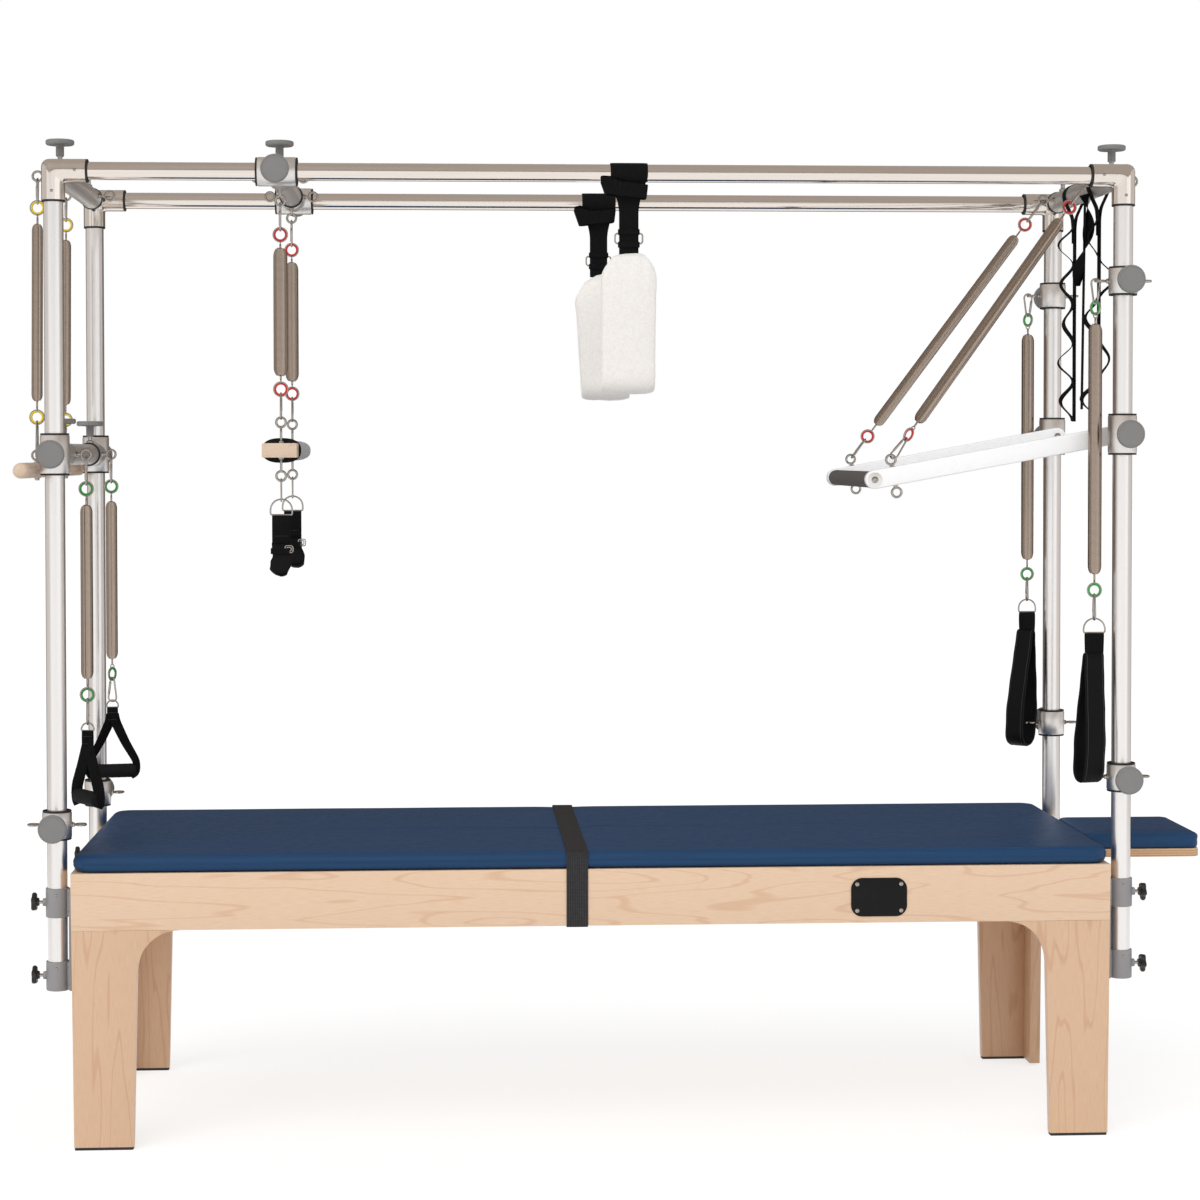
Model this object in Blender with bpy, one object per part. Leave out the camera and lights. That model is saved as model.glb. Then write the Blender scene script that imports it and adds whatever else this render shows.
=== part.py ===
"""Pilates trapeze table: a padded maple table under a tube canopy with springs, bars and slings.

Metres, +Z up. X runs along the table, Y across it. The origin is the middle of the whole
object's box, on the floor.
"""

import math

import bmesh
import bpy
from mathutils import Matrix, Vector

# Running or seating gap between touching pieces
GAP = 0.0003

# Table
TABLE_LENGTH = 2.224
TABLE_WIDTH = 0.748
TABLE_TOP = 0.588
BOARD = 0.025
APRON_BOTTOM = 0.4665
LEG_WIDTH_TOP = 0.139
LEG_WIDTH_FOOT = 0.125
LEG_SPLAY = 0.005
LEG_RETURN = 0.100
ARCH_RADIUS = 0.090
END_ARCH_RADIUS = 0.060
DECK_THICK = 0.018

# Mat, belt and front plate
MAT_THICK = 0.038
MAT_ROUND = 0.012
BELT_WIDTH = 0.048
BELT_THICK = 0.0025
BELT_X = -0.040
BELT_RETURN = 0.050
PLATE_WIDTH = 0.121
PLATE_HEIGHT = 0.083
PLATE_THICK = 0.002
PLATE_CORNER = 0.024
PLATE_X = 0.6085
PLATE_Z = 0.522

# Head rest at the right end
REST_LENGTH = 0.262
REST_WIDTH = 0.280
REST_BOARD = 0.018
REST_CORNER = 0.020
REST_BRACKET_LEG = 0.040
REST_BRACKET_THICK = 0.004
REST_BRACKET_WIDTH = 0.200
REST_DROP = 0.0035

# Upright frame
POST_STAND = 0.033
POST_X = TABLE_LENGTH / 2 + POST_STAND
POST_Y = 0.330
POST_RADIUS = 0.021
POST_WALL = 0.002
POST_BOTTOM = 0.338
RAIL_Z = 2.073
RAIL_RADIUS = 0.019
RAIL_WALL = 0.0015
BAR_RADIUS = 0.0235
BAR_WALL = 0.002
CORNER_RADIUS = 0.025
CORNER_REACH_X = 0.0735
CORNER_REACH_Y = 0.0450
CORNER_REACH_Z = 0.0660
CORNER_WALL = 0.0225

# Socket brackets that hold the posts to the table's ends
SOCKET_RADIUS = 0.0247
SOCKET_HEIGHT = 0.062
SOCKET_LOW_Z = 0.366
SOCKET_HIGH_Z = 0.522
BRACKET_HALF_WIDTH = 0.024
BRACKET_STEM = 0.030
BRACKET_STEM_RADIUS = 0.004
STAR_RADIUS = 0.020
STAR_THICK = 0.016

# Clamps
CLAMP_RADIUS = 0.031
CLAMP_HEIGHT = 0.0625
TEE_HEIGHT = 0.089
TEE_LENGTH = 0.089
BOSS_RADIUS = 0.0275
BOSS_MOUTH_Y = 0.200
KNOB_RADIUS = 0.0305
KNOB_THICK = 0.010
KNOB_REACH = 0.082
KNOB_STEM = 0.009
TOP_KNOB_Y = 0.228
EYE_Y = 0.215
EYE_RING = 0.010
EYE_WIRE = 0.0025
EYE_REACH = 0.050

# Heights of the clamps on the posts
MID_BAR_Z = RAIL_Z - 0.599
LOW_LEFT_FRONT_Z = 0.687
LOW_LEFT_REAR_Z = 0.6715
HIGH_RIGHT_FRONT_Z = RAIL_Z - 0.227
HIGH_RIGHT_REAR_Z = RAIL_Z - 0.220
PUSH_BAR_Z = RAIL_Z - 0.558
LOW_RIGHT_FRONT_Z = 0.772
LOW_RIGHT_REAR_Z = 0.823
CARRIAGE_X = -0.675

# Push-through bar
ARM_Y = 0.284
ARM_THICK = 0.024
ARM_HEIGHT = 0.040
ARM_LENGTH = 0.543
ARM_DROP_DEG = 10.4
ARM_EYE_BACK = 0.044
GRIP_RADIUS = 0.018
PIVOT_RADIUS = 0.008

# Springs: outer radius of each strength
SPRING_LIGHT = 0.012
SPRING_MEDIUM = 0.0135
SPRING_LONG = 0.0150
SPRING_HEAVY = 0.0160
FOOT_SPRING_CLEAR = 0.533
HAND_SPRING_CLEAR = 0.314
SPRING_LONG_LENGTH = HIGH_RIGHT_FRONT_Z - TABLE_TOP - FOOT_SPRING_CLEAR
HAND_SPRING_LENGTH = MID_BAR_Z - TABLE_TOP - HAND_SPRING_CLEAR
SPRING_NECK = 0.0025
RING_RADIUS = 0.0140
RING_WIRE = 0.0030
LINK_LENGTH = 0.046
LINK_WIDTH = 0.0150
LINK_WIRE = 0.0040
NECK_LENGTH = 0.014

# Roll-down bar hung outside the left end
ROLL_X = -POST_X - 0.055
ROLL_Z = RAIL_Z - 0.633
ROLL_RADIUS = 0.0165
ROLL_LENGTH = 0.900

# Trapeze bar hung from the carriage
TRAPEZE_Z = RAIL_Z - 0.591
TRAPEZE_LENGTH = 0.560
TRAPEZE_WIDTH = 0.078
TRAPEZE_THICK = 0.032
CUFF_WIDTH = 0.048
CUFF_HEIGHT = 0.140
CUFF_THICK = 0.030

# Hand loops, foot loops, fleece slings and safety straps
HAND_LOOP_WIDTH = 0.110
HAND_LOOP_HEIGHT = 0.150
HAND_LOOP_WEB = 0.025
HAND_GRIP_RADIUS = 0.0150
FOOT_LOOP_HEIGHT = 0.368
FOOT_LOOP_WIDTH = 0.078
FOOT_LOOP_WEB = 0.052
FOOT_LOOP_THICK = 0.008
FOOT_LOOP_LEAN = 0.100
SLING_X = (0.074, 0.048)
SLING_TOP_Z = RAIL_Z - 0.188
SLING_BOTTOM_Z = RAIL_Z - 0.481
SLING_WIDTH = 0.120
SLING_DEPTH = 0.066
SLING_LAYER = 0.022
SLING_STRAP = 0.044
SLING_STRAP_THICK = 0.003
SAFETY_Y = 0.115
SAFETY_WIDTH = 0.030
SAFETY_DEPTH = 0.040
SAFETY_BOTTOM_Z = RAIL_Z - 0.528

# Facets of round pieces
FACETS = 12
FINE_FACETS = 16
COIL_FACETS = 8
RING_FACETS = 8
WIRE_FACETS = 4

# The whole box runs from the roll-down bar to the end of the head rest
REST_START = TABLE_LENGTH / 2 + 0.0015
BOX_LEFT = ROLL_X - ROLL_RADIUS
BOX_RIGHT = REST_START + REST_LENGTH
CENTRE_X = (BOX_LEFT + BOX_RIGHT) / 2

X_AXIS = Vector((1, 0, 0))
Y_AXIS = Vector((0, 1, 0))
Z_AXIS = Vector((0, 0, 1))


def clear_scene():
    """Remove every object that the file opens with."""
    for obj in list(bpy.data.objects):
        bpy.data.objects.remove(obj, do_unlink=True)


def material(name, colour, roughness, metallic=0.0):
    """Make one Principled material."""
    mat = bpy.data.materials.new(name)
    mat.use_nodes = True
    shader = mat.node_tree.nodes["Principled BSDF"]
    shader.inputs["Base Color"].default_value = (*colour, 1.0)
    shader.inputs["Roughness"].default_value = roughness
    shader.inputs["Metallic"].default_value = metallic
    return mat


def body_empty(name, place, parent=None):
    """Make the empty that stands on a body's joint axis."""
    empty = bpy.data.objects.new(name, None)
    bpy.context.collection.objects.link(empty)
    world = Vector(place) - Vector((CENTRE_X, 0, 0))
    if parent is None:
        empty.location = world
    else:
        empty.parent = parent
        empty.location = world - home(parent)
    return empty


def home(obj):
    """Return an object's place in the world, down its chain of parents."""
    place = Vector(obj.location)
    while obj.parent is not None:
        obj = obj.parent
        place += Vector(obj.location)
    return place


def seat(obj, body, place):
    """Parent an object to a body's empty, with its own origin at a place on the table."""
    obj.parent = body
    obj.location = Vector(place) - Vector((CENTRE_X, 0, 0)) - home(body)


def new_object(name, mesh, mat):
    """Link a mesh to the scene as a smooth-shaded object."""
    obj = bpy.data.objects.new(name, mesh)
    bpy.context.collection.objects.link(obj)
    mesh.materials.append(mat)
    mesh.shade_smooth()
    mesh.set_sharp_from_angle(angle=math.radians(35))
    return obj


def mesh_from(verts, faces):
    """Make a mesh whose faces all point out."""
    mesh = bpy.data.meshes.new("solid")
    mesh.from_pydata([tuple(v) for v in verts], [], faces)
    work = bmesh.new()
    work.from_mesh(mesh)
    bmesh.ops.recalc_face_normals(work, faces=work.faces)
    work.to_mesh(mesh)
    work.free()
    return mesh


def along(axis):
    """Return the rotation that turns +Z to an axis."""
    return Z_AXIS.rotation_difference(Vector(axis)).to_matrix()


def turned(profile, axis, place, facets, closed=False):
    """Turn a profile of (radius, height) about an axis through a place.

    A closed profile makes a ring or a tube. An open one starts and ends on the axis.
    """
    turn = along(axis)
    verts = []
    rows = []
    for radius, height in profile:
        if radius < 1e-9:
            rows.append([len(verts)])
            verts.append(turn @ Vector((0, 0, height)) + Vector(place))
            continue
        row = []
        for k in range(facets):
            angle = 2 * math.pi * (k + 0.5) / facets
            row.append(len(verts))
            spot = Vector((radius * math.cos(angle), radius * math.sin(angle), height))
            verts.append(turn @ spot + Vector(place))
        rows.append(row)
    pairs = list(zip(rows, rows[1:]))
    if closed:
        pairs.append((rows[-1], rows[0]))
    faces = []
    for low, high in pairs:
        for k in range(facets):
            n = (k + 1) % facets
            if len(low) == 1:
                faces.append((low[0], high[n], high[k]))
            elif len(high) == 1:
                faces.append((low[k], low[n], high[0]))
            else:
                faces.append((low[k], low[n], high[n], high[k]))
    return mesh_from(verts, faces)


def rod(start, end, radius, facets=FACETS):
    """Make a solid round bar between two points."""
    axis = Vector(end) - Vector(start)
    length = axis.length
    profile = [(0, 0), (radius, 0), (radius, length), (0, length)]
    return turned(profile, axis / length, start, facets)


def pipe(start, end, radius, wall, facets=FACETS):
    """Make a hollow round tube, open at both ends."""
    axis = Vector(end) - Vector(start)
    length = axis.length
    inner = radius - wall
    profile = [(inner, 0), (radius, 0), (radius, length), (inner, length)]
    return turned(profile, axis / length, start, facets, closed=True)


def ring(centre, axis, radius, wire):
    """Make a wire ring whose flats touch the radius on its main axes."""
    profile = []
    flat = 1 / math.cos(math.pi / RING_FACETS)
    for k in range(WIRE_FACETS):
        angle = 2 * math.pi * k / WIRE_FACETS
        profile.append(((radius + wire * math.cos(angle)) * flat, wire * math.sin(angle)))
    return turned(profile, axis, centre, RING_FACETS, closed=True)


def prism(outline, axis, low, high):
    """Extrude a flat outline along X, Y or Z between two heights.

    The outline holds (Y, Z) points for X, (X, Z) points for Y and (X, Y) points for Z.
    """
    place = {
        "X": lambda a, b, h: Vector((h, a, b)),
        "Y": lambda a, b, h: Vector((a, h, b)),
        "Z": lambda a, b, h: Vector((a, b, h)),
    }[axis]
    count = len(outline)
    verts = [place(a, b, low) for a, b in outline]
    verts += [place(a, b, high) for a, b in outline]
    faces = [tuple(range(count)), tuple(range(2 * count - 1, count - 1, -1))]
    for k in range(count):
        n = (k + 1) % count
        faces.append((k, n, count + n, count + k))
    return mesh_from(verts, faces)


def block(low, high):
    """Make a rectangular block between two corners."""
    outline = [(low[0], low[1]), (high[0], low[1]), (high[0], high[1]), (low[0], high[1])]
    return prism(outline, "Z", low[2], high[2])


def loop_band(outer, inner, axis, low, high):
    """Extrude the band between an outer outline and an inner one with as many points."""
    place = {
        "X": lambda a, b, h: Vector((h, a, b)),
        "Y": lambda a, b, h: Vector((a, h, b)),
    }[axis]
    count = len(outer)
    verts = []
    for outline in (outer, inner):
        for height in (low, high):
            verts += [place(a, b, height) for a, b in outline]
    out_low, out_high, in_low, in_high = 0, count, 2 * count, 3 * count
    faces = []
    for k in range(count):
        n = (k + 1) % count
        faces.append((out_low + k, out_low + n, out_high + n, out_high + k))
        faces.append((in_low + n, in_low + k, in_high + k, in_high + n))
        faces.append((out_high + k, out_high + n, in_high + n, in_high + k))
        faces.append((out_low + n, out_low + k, in_low + k, in_low + n))
    return mesh_from(verts, faces)


def arc(centre, radius, start_deg, end_deg, steps):
    """Return points along a circle's arc, both ends included."""
    points = []
    for k in range(steps + 1):
        angle = math.radians(start_deg + (end_deg - start_deg) * k / steps)
        points.append((centre[0] + radius * math.cos(angle), centre[1] + radius * math.sin(angle)))
    return points


def rounded_box(half_a, half_b, corner, centre=(0, 0), steps=3):
    """Return a rectangle's outline with round corners."""
    points = []
    corners = ((1, 1, 0), (-1, 1, 90), (-1, -1, 180), (1, -1, 270))
    for side_a, side_b, start in corners:
        middle = (centre[0] + side_a * (half_a - corner), centre[1] + side_b * (half_b - corner))
        points += arc(middle, corner, start, start + 90, steps)
    return points


def helper(mesh, operation, target):
    """Join a mesh to an object, or cut it away, with a Boolean."""
    piece = bpy.data.objects.new(target.name + "_shape", mesh)
    bpy.context.collection.objects.link(piece)
    piece.hide_render = True
    piece.display_type = "WIRE"
    piece.parent = target.parent
    piece.location = target.location
    modifier = target.modifiers.new(operation.lower(), "BOOLEAN")
    modifier.operation = operation
    modifier.solver = "EXACT"
    modifier.object = piece


def made(name, mat, body, base, joined=(), cut=()):
    """Make one sub-part from a base shape, shapes joined to it and shapes cut from it.

    Every mesh is given in table coordinates. The object's own origin is its body's axis.
    """
    place = home(body) + Vector((CENTRE_X, 0, 0))
    for mesh in (base, *joined, *cut):
        mesh.transform(Matrix.Translation(-place))
    obj = new_object(name, base, mat)
    seat(obj, body, place)
    for mesh in joined:
        helper(mesh, "UNION", obj)
    for mesh in cut:
        helper(mesh, "DIFFERENCE", obj)
    return obj


def side_outline():
    """Return the long board's outline: apron, two legs and two round inner corners."""
    half = TABLE_LENGTH / 2
    inner_top = half - LEG_WIDTH_TOP
    foot_out = half - LEG_SPLAY
    foot_in = foot_out - LEG_WIDTH_FOOT
    spring = APRON_BOTTOM - ARCH_RADIUS
    right_arch = arc((inner_top - ARCH_RADIUS, spring), ARCH_RADIUS, 0, 90, 6)
    left_arch = [(-x, z) for x, z in reversed(right_arch)]
    right = [(foot_out, 0), (foot_in, 0)]
    left = [(-foot_in, 0), (-foot_out, 0)]
    return [(half, TABLE_TOP)] + right + right_arch + left_arch + left + [(-half, TABLE_TOP)]


def end_outline():
    """Return the end board's outline, which fits between the long boards."""
    half = TABLE_WIDTH / 2 - BOARD - GAP
    inner = half - (LEG_RETURN - BOARD)
    spring = APRON_BOTTOM - END_ARCH_RADIUS
    right_arch = arc((inner - END_ARCH_RADIUS, spring), END_ARCH_RADIUS, 0, 90, 4)
    left_arch = [(-y, z) for y, z in reversed(right_arch)]
    right = [(half, 0), (inner, 0)]
    left = [(-inner, 0), (-half, 0)]
    return [(half, TABLE_TOP)] + right + right_arch + left_arch + left + [(-half, TABLE_TOP)]


def belt_outline():
    """Return the belt's cross-section: over the mat, down both sides and under the apron."""
    half = TABLE_WIDTH / 2
    top = TABLE_TOP + GAP + MAT_THICK
    points = []
    for grow in (GAP, GAP + BELT_THICK):
        path = [(half - BELT_RETURN, APRON_BOTTOM - grow), (half + grow, APRON_BOTTOM - grow)]
        middle = (half - MAT_ROUND, top - MAT_ROUND)
        path += arc(middle, MAT_ROUND + grow + GAP, 0, 90, 4)
        path += [(-y, z) for y, z in reversed(path)]
        points.append(path)
    return points[0] + points[1][::-1]


def make_table(root, mats):
    """Make the wooden table, its mat, belt and front plate."""
    half_width = TABLE_WIDTH / 2
    half_length = TABLE_LENGTH / 2
    for name, low in (("side_board_front", -half_width), ("side_board_rear", half_width - BOARD)):
        made(name, mats["maple"], root, prism(side_outline(), "Y", low, low + BOARD))
    outline = end_outline()
    low_x = half_length - BOARD
    for name, side in (("end_board_left", -1), ("end_board_right", 1)):
        spans = sorted((side * low_x, side * half_length))
        leg_cut = LEG_SPLAY + 0.0002
        wedge = [
            (half_length - leg_cut, -0.001),
            (half_length + 0.001, -0.001),
            (half_length + 0.001, TABLE_TOP + 0.001),
        ]
        wedge = [(side * x, z) for x, z in wedge]
        trim = prism(wedge, "Y", -half_width, half_width)
        made(name, mats["maple"], root, prism(outline, "X", *spans), cut=[trim])
    inside = half_length - BOARD - GAP
    across = half_width - BOARD - GAP
    deck = block((-inside, -across, TABLE_TOP - DECK_THICK), (inside, across, TABLE_TOP))
    made("deck", mats["plywood"], root, deck)

    mat_low = TABLE_TOP + GAP
    pad = block((-half_length, -half_width, mat_low), (half_length, half_width, mat_low + MAT_THICK))
    mat_pad = made("mat_pad", mats["vinyl"], root, pad)
    bevel = mat_pad.modifiers.new("bevel", "BEVEL")
    bevel.width = MAT_ROUND
    bevel.segments = 3
    belt = prism(belt_outline(), "X", BELT_X - BELT_WIDTH / 2, BELT_X + BELT_WIDTH / 2)
    made("belt_strap", mats["webbing"], root, belt)
    face = -half_width - GAP
    plate = rounded_box(PLATE_WIDTH / 2, PLATE_HEIGHT / 2, PLATE_CORNER, (PLATE_X, PLATE_Z))
    made("front_plate", mats["black"], root, prism(plate, "Y", face - PLATE_THICK, face))


def make_head_rest(root, mats):
    """Make the small padded board beyond the right end and the angle that holds it."""
    top = TABLE_TOP - REST_DROP
    half = REST_WIDTH / 2
    centre = (REST_START + REST_LENGTH / 2, 0)
    outline = rounded_box(REST_LENGTH / 2, half, REST_CORNER, centre)
    board = prism(outline, "Z", top - REST_BOARD, top)
    made("headrest_board", mats["plywood"], root, board)
    cushion = prism(outline, "Z", top + GAP, top + GAP + MAT_THICK)
    pad = made("headrest_pad", mats["vinyl"], root, cushion)
    bevel = pad.modifiers.new("bevel", "BEVEL")
    bevel.width = MAT_ROUND / 2
    bevel.segments = 2
    bevel.limit_method = "ANGLE"
    bevel.angle_limit = math.radians(60)
    wall = TABLE_LENGTH / 2 + GAP
    shelf = top - REST_BOARD - GAP
    leg, thick = REST_BRACKET_LEG, REST_BRACKET_THICK
    angle = [
        (wall, shelf),
        (wall + leg, shelf),
        (wall + leg, shelf - thick),
        (wall + thick, shelf - thick),
        (wall + thick, shelf - leg),
        (wall, shelf - leg),
    ]
    half = REST_BRACKET_WIDTH / 2
    made("headrest_bracket", mats["grey"], root, prism(angle, "Y", -half, half))


def make_posts(root, mats):
    """Make the four posts, the socket brackets, the rails, corners and end bars."""
    post_top = RAIL_Z - CORNER_WALL - GAP
    rail_end = POST_X - CORNER_WALL - GAP
    for end, side_x in (("left", -1), ("right", 1)):
        for row, side_y in (("front", -1), ("rear", 1)):
            x = side_x * POST_X
            y = side_y * POST_Y
            name = row + "_" + end
            post = pipe((x, y, POST_BOTTOM), (x, y, post_top), POST_RADIUS, POST_WALL)
            made("post_" + name, mats["aluminium"], root, post)
            make_corner("corner_" + name, root, mats, side_x, side_y)
            make_bracket("bracket_" + name, root, mats, side_x, side_y)
    for row, side_y in (("front", -1), ("rear", 1)):
        y = side_y * POST_Y
        rail = pipe((-rail_end, y, RAIL_Z), (rail_end, y, RAIL_Z), RAIL_RADIUS, RAIL_WALL)
        made("rail_" + row, mats["chrome"], root, rail)
    for end, side_x in (("left", -1), ("right", 1)):
        make_end_bar("top_bar_" + end, root, mats, side_x)


def make_corner(name, root, mats, side_x, side_y):
    """Make a three-way corner that takes a post, a rail and an end bar."""
    corner = Vector((side_x * POST_X, side_y * POST_Y, RAIL_Z))
    down = corner - Z_AXIS * CORNER_REACH_Z
    inward_x = corner - X_AXIS * side_x * CORNER_REACH_X
    inward_y = corner - Y_AXIS * side_y * CORNER_REACH_Y
    radius = CORNER_RADIUS
    reach = CORNER_REACH_Z
    profile = [
        (0, -reach),
        (radius, -reach),
        (radius, radius * 0.45),
        (radius * 0.74, radius * 0.86),
        (0, radius),
    ]
    base = turned(profile, Z_AXIS, corner, FACETS)
    joined = [
        rod(corner + X_AXIS * side_x * radius * 0.17, inward_x, radius * 0.965),
        rod(corner + Y_AXIS * side_y * radius * 0.23, inward_y, radius * 0.93),
    ]
    bore_top = corner - Z_AXIS * CORNER_WALL
    bore_side = corner - X_AXIS * side_x * CORNER_WALL
    cut = [
        rod(down - Z_AXIS * 0.001, bore_top, POST_RADIUS + GAP),
        rod(inward_x - X_AXIS * side_x * 0.001, bore_side, RAIL_RADIUS + GAP),
    ]
    made(name, mats["chrome"], root, base, joined, cut)


def make_bracket(name, root, mats, side_x, side_y):
    """Make a wall plate with two sockets and the two star knobs that grip the post."""
    x = side_x * POST_X
    y = side_y * POST_Y
    wall = TABLE_LENGTH / 2 + GAP
    low = SOCKET_LOW_Z - SOCKET_HEIGHT / 2
    high = SOCKET_HIGH_Z + SOCKET_HEIGHT / 2
    plate_out = POST_X - SOCKET_RADIUS + 0.002
    spans = sorted((side_x * wall, side_x * plate_out))
    base = block((spans[0], y - BRACKET_HALF_WIDTH, low), (spans[1], y + BRACKET_HALF_WIDTH, high))
    joined = []
    for z in (SOCKET_LOW_Z, SOCKET_HIGH_Z):
        half = SOCKET_HEIGHT / 2
        joined.append(rod((x, y, z - half), (x, y, z + half), SOCKET_RADIUS))
        stem = Vector((x, y, z))
        knob = stem + X_AXIS * side_x * (SOCKET_RADIUS + BRACKET_STEM)
        joined.append(rod(stem, knob - X_AXIS * side_x * STAR_THICK / 2, BRACKET_STEM_RADIUS, 8))
        joined.append(rod(knob - X_AXIS * side_x * STAR_THICK, knob, STAR_RADIUS, 10))
    bore = rod((x, y, low + 0.002), (x, y, high + 0.001), POST_RADIUS + GAP)
    made(name, mats["grey"], root, base, joined, [bore])


def knob_shapes(centre, direction, start):
    """Return a clamp screw's stem and disc, from a surface outwards."""
    direction = Vector(direction)
    centre = Vector(centre)
    stem_end = centre + direction * (KNOB_REACH - KNOB_THICK / 2)
    disc_start = centre + direction * (KNOB_REACH - KNOB_THICK)
    disc_end = centre + direction * KNOB_REACH
    return [
        rod(centre + direction * start, stem_end, KNOB_STEM, 8),
        rod(disc_start, disc_end, KNOB_RADIUS, FINE_FACETS),
    ]


def eye_shapes(centre, direction, ring_axis, start, reach=EYE_REACH):
    """Return an eye bolt: its shank and its ring, whose centre lies at its reach."""
    direction = Vector(direction)
    middle = Vector(centre) + direction * reach
    shank_end = middle - direction * EYE_RING
    return [
        rod(Vector(centre) + direction * start, shank_end, EYE_WIRE, 6),
        ring(middle, ring_axis, EYE_RING, EYE_WIRE),
    ]


def make_end_bar(name, root, mats, side_x):
    """Make an end bar with two clamp knobs on top and an eye bolt on each side of both."""
    x = side_x * POST_X
    end = POST_Y - CORNER_REACH_Y - GAP
    base = pipe((x, -end, RAIL_Z), (x, end, RAIL_Z), BAR_RADIUS, BAR_WALL)
    joined = []
    for side_y in (-1, 1):
        knob = (x, side_y * TOP_KNOB_Y, RAIL_Z)
        joined += knob_shapes(knob, Z_AXIS, BAR_RADIUS - BAR_WALL / 2)
        for direction in (X_AXIS, -X_AXIS):
            eye = (x, side_y * EYE_Y, RAIL_Z)
            joined += eye_shapes(eye, direction, Y_AXIS, BAR_RADIUS - BAR_WALL / 2)
    made(name, mats["aluminium"], root, base, joined)


def tee_shapes(centre, along_axis, length, side_y, knob_axis, eyes):
    """Return a T clamp's base, joined and cut shapes.

    The sleeve runs along an axis, the boss points to the middle of the table, one knob
    faces out and another stands on the boss.
    """
    centre = Vector(centre)
    axis = Vector(along_axis)
    inward = -Y_AXIS * side_y
    mouth = Vector((centre.x, side_y * BOSS_MOUTH_Y, centre.z))
    base = rod(centre - axis * length / 2, centre + axis * length / 2, CLAMP_RADIUS)
    joined = [rod(centre, mouth, BOSS_RADIUS)]
    joined += knob_shapes(centre, -inward, CLAMP_RADIUS - 0.004)
    knob = Vector((centre.x, side_y * TOP_KNOB_Y, centre.z))
    joined += knob_shapes(knob, knob_axis, BOSS_RADIUS - 0.002)
    for direction, ring_axis, reach in eyes:
        eye = Vector((centre.x, side_y * EYE_Y, centre.z))
        joined += eye_shapes(eye, direction, ring_axis, BOSS_RADIUS - 0.002, reach)
    stop = centre + inward * (CLAMP_RADIUS + 0.010)
    cut = [rod(mouth + inward * 0.001, stop, BAR_RADIUS + GAP)]
    return base, joined, cut


def make_cross_bar(prefix, body, mats, centre, along_axis, length, bore_radius, knob_axis, eyes):
    """Make a bar across the frame and the T clamp at each of its ends."""
    axis = Vector(along_axis)
    for row, side_y in (("front", -1), ("rear", 1)):
        spot = Vector((centre[0], side_y * POST_Y, centre[2]))
        base, joined, cut = tee_shapes(spot, axis, length, side_y, knob_axis, eyes)
        reach = length / 2 + 0.001
        cut.append(rod(spot - axis * reach, spot + axis * reach, bore_radius + GAP))
        made(prefix + "_clamp_" + row, mats["cast"], body, base, joined, cut)
    end = POST_Y - CLAMP_RADIUS - 0.010 - GAP
    bar = pipe((centre[0], -end, centre[2]), (centre[0], end, centre[2]), BAR_RADIUS, BAR_WALL)
    made(prefix + "_tube", mats["aluminium"], body, bar)


def make_collar(name, body, mats, centre, side_y, height, eyes):
    """Make a clamp collar on a post, with its knob facing out and an eye bolt each side."""
    centre = Vector(centre)
    half = Z_AXIS * height / 2
    base = rod(centre - half, centre + half, CLAMP_RADIUS)
    joined = knob_shapes(centre, Y_AXIS * side_y, CLAMP_RADIUS - 0.004)
    for direction in eyes:
        joined += eye_shapes(centre, direction, Z_AXIS, CLAMP_RADIUS - 0.004)
    bore = rod(centre - half * 1.05, centre + half * 1.05, POST_RADIUS + GAP)
    made(name, mats["cast"], body, base, joined, [bore])


def push_point(back, lift):
    """Return (X, Z) of a point on the push bar: back from its grip, lifted off its line."""
    angle = math.radians(ARM_DROP_DEG)
    line = ARM_LENGTH - back
    x = POST_X - line * math.cos(angle) + lift * -math.sin(angle)
    z = PUSH_BAR_Z - line * math.sin(angle) + lift * math.cos(angle)
    return x, z


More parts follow.
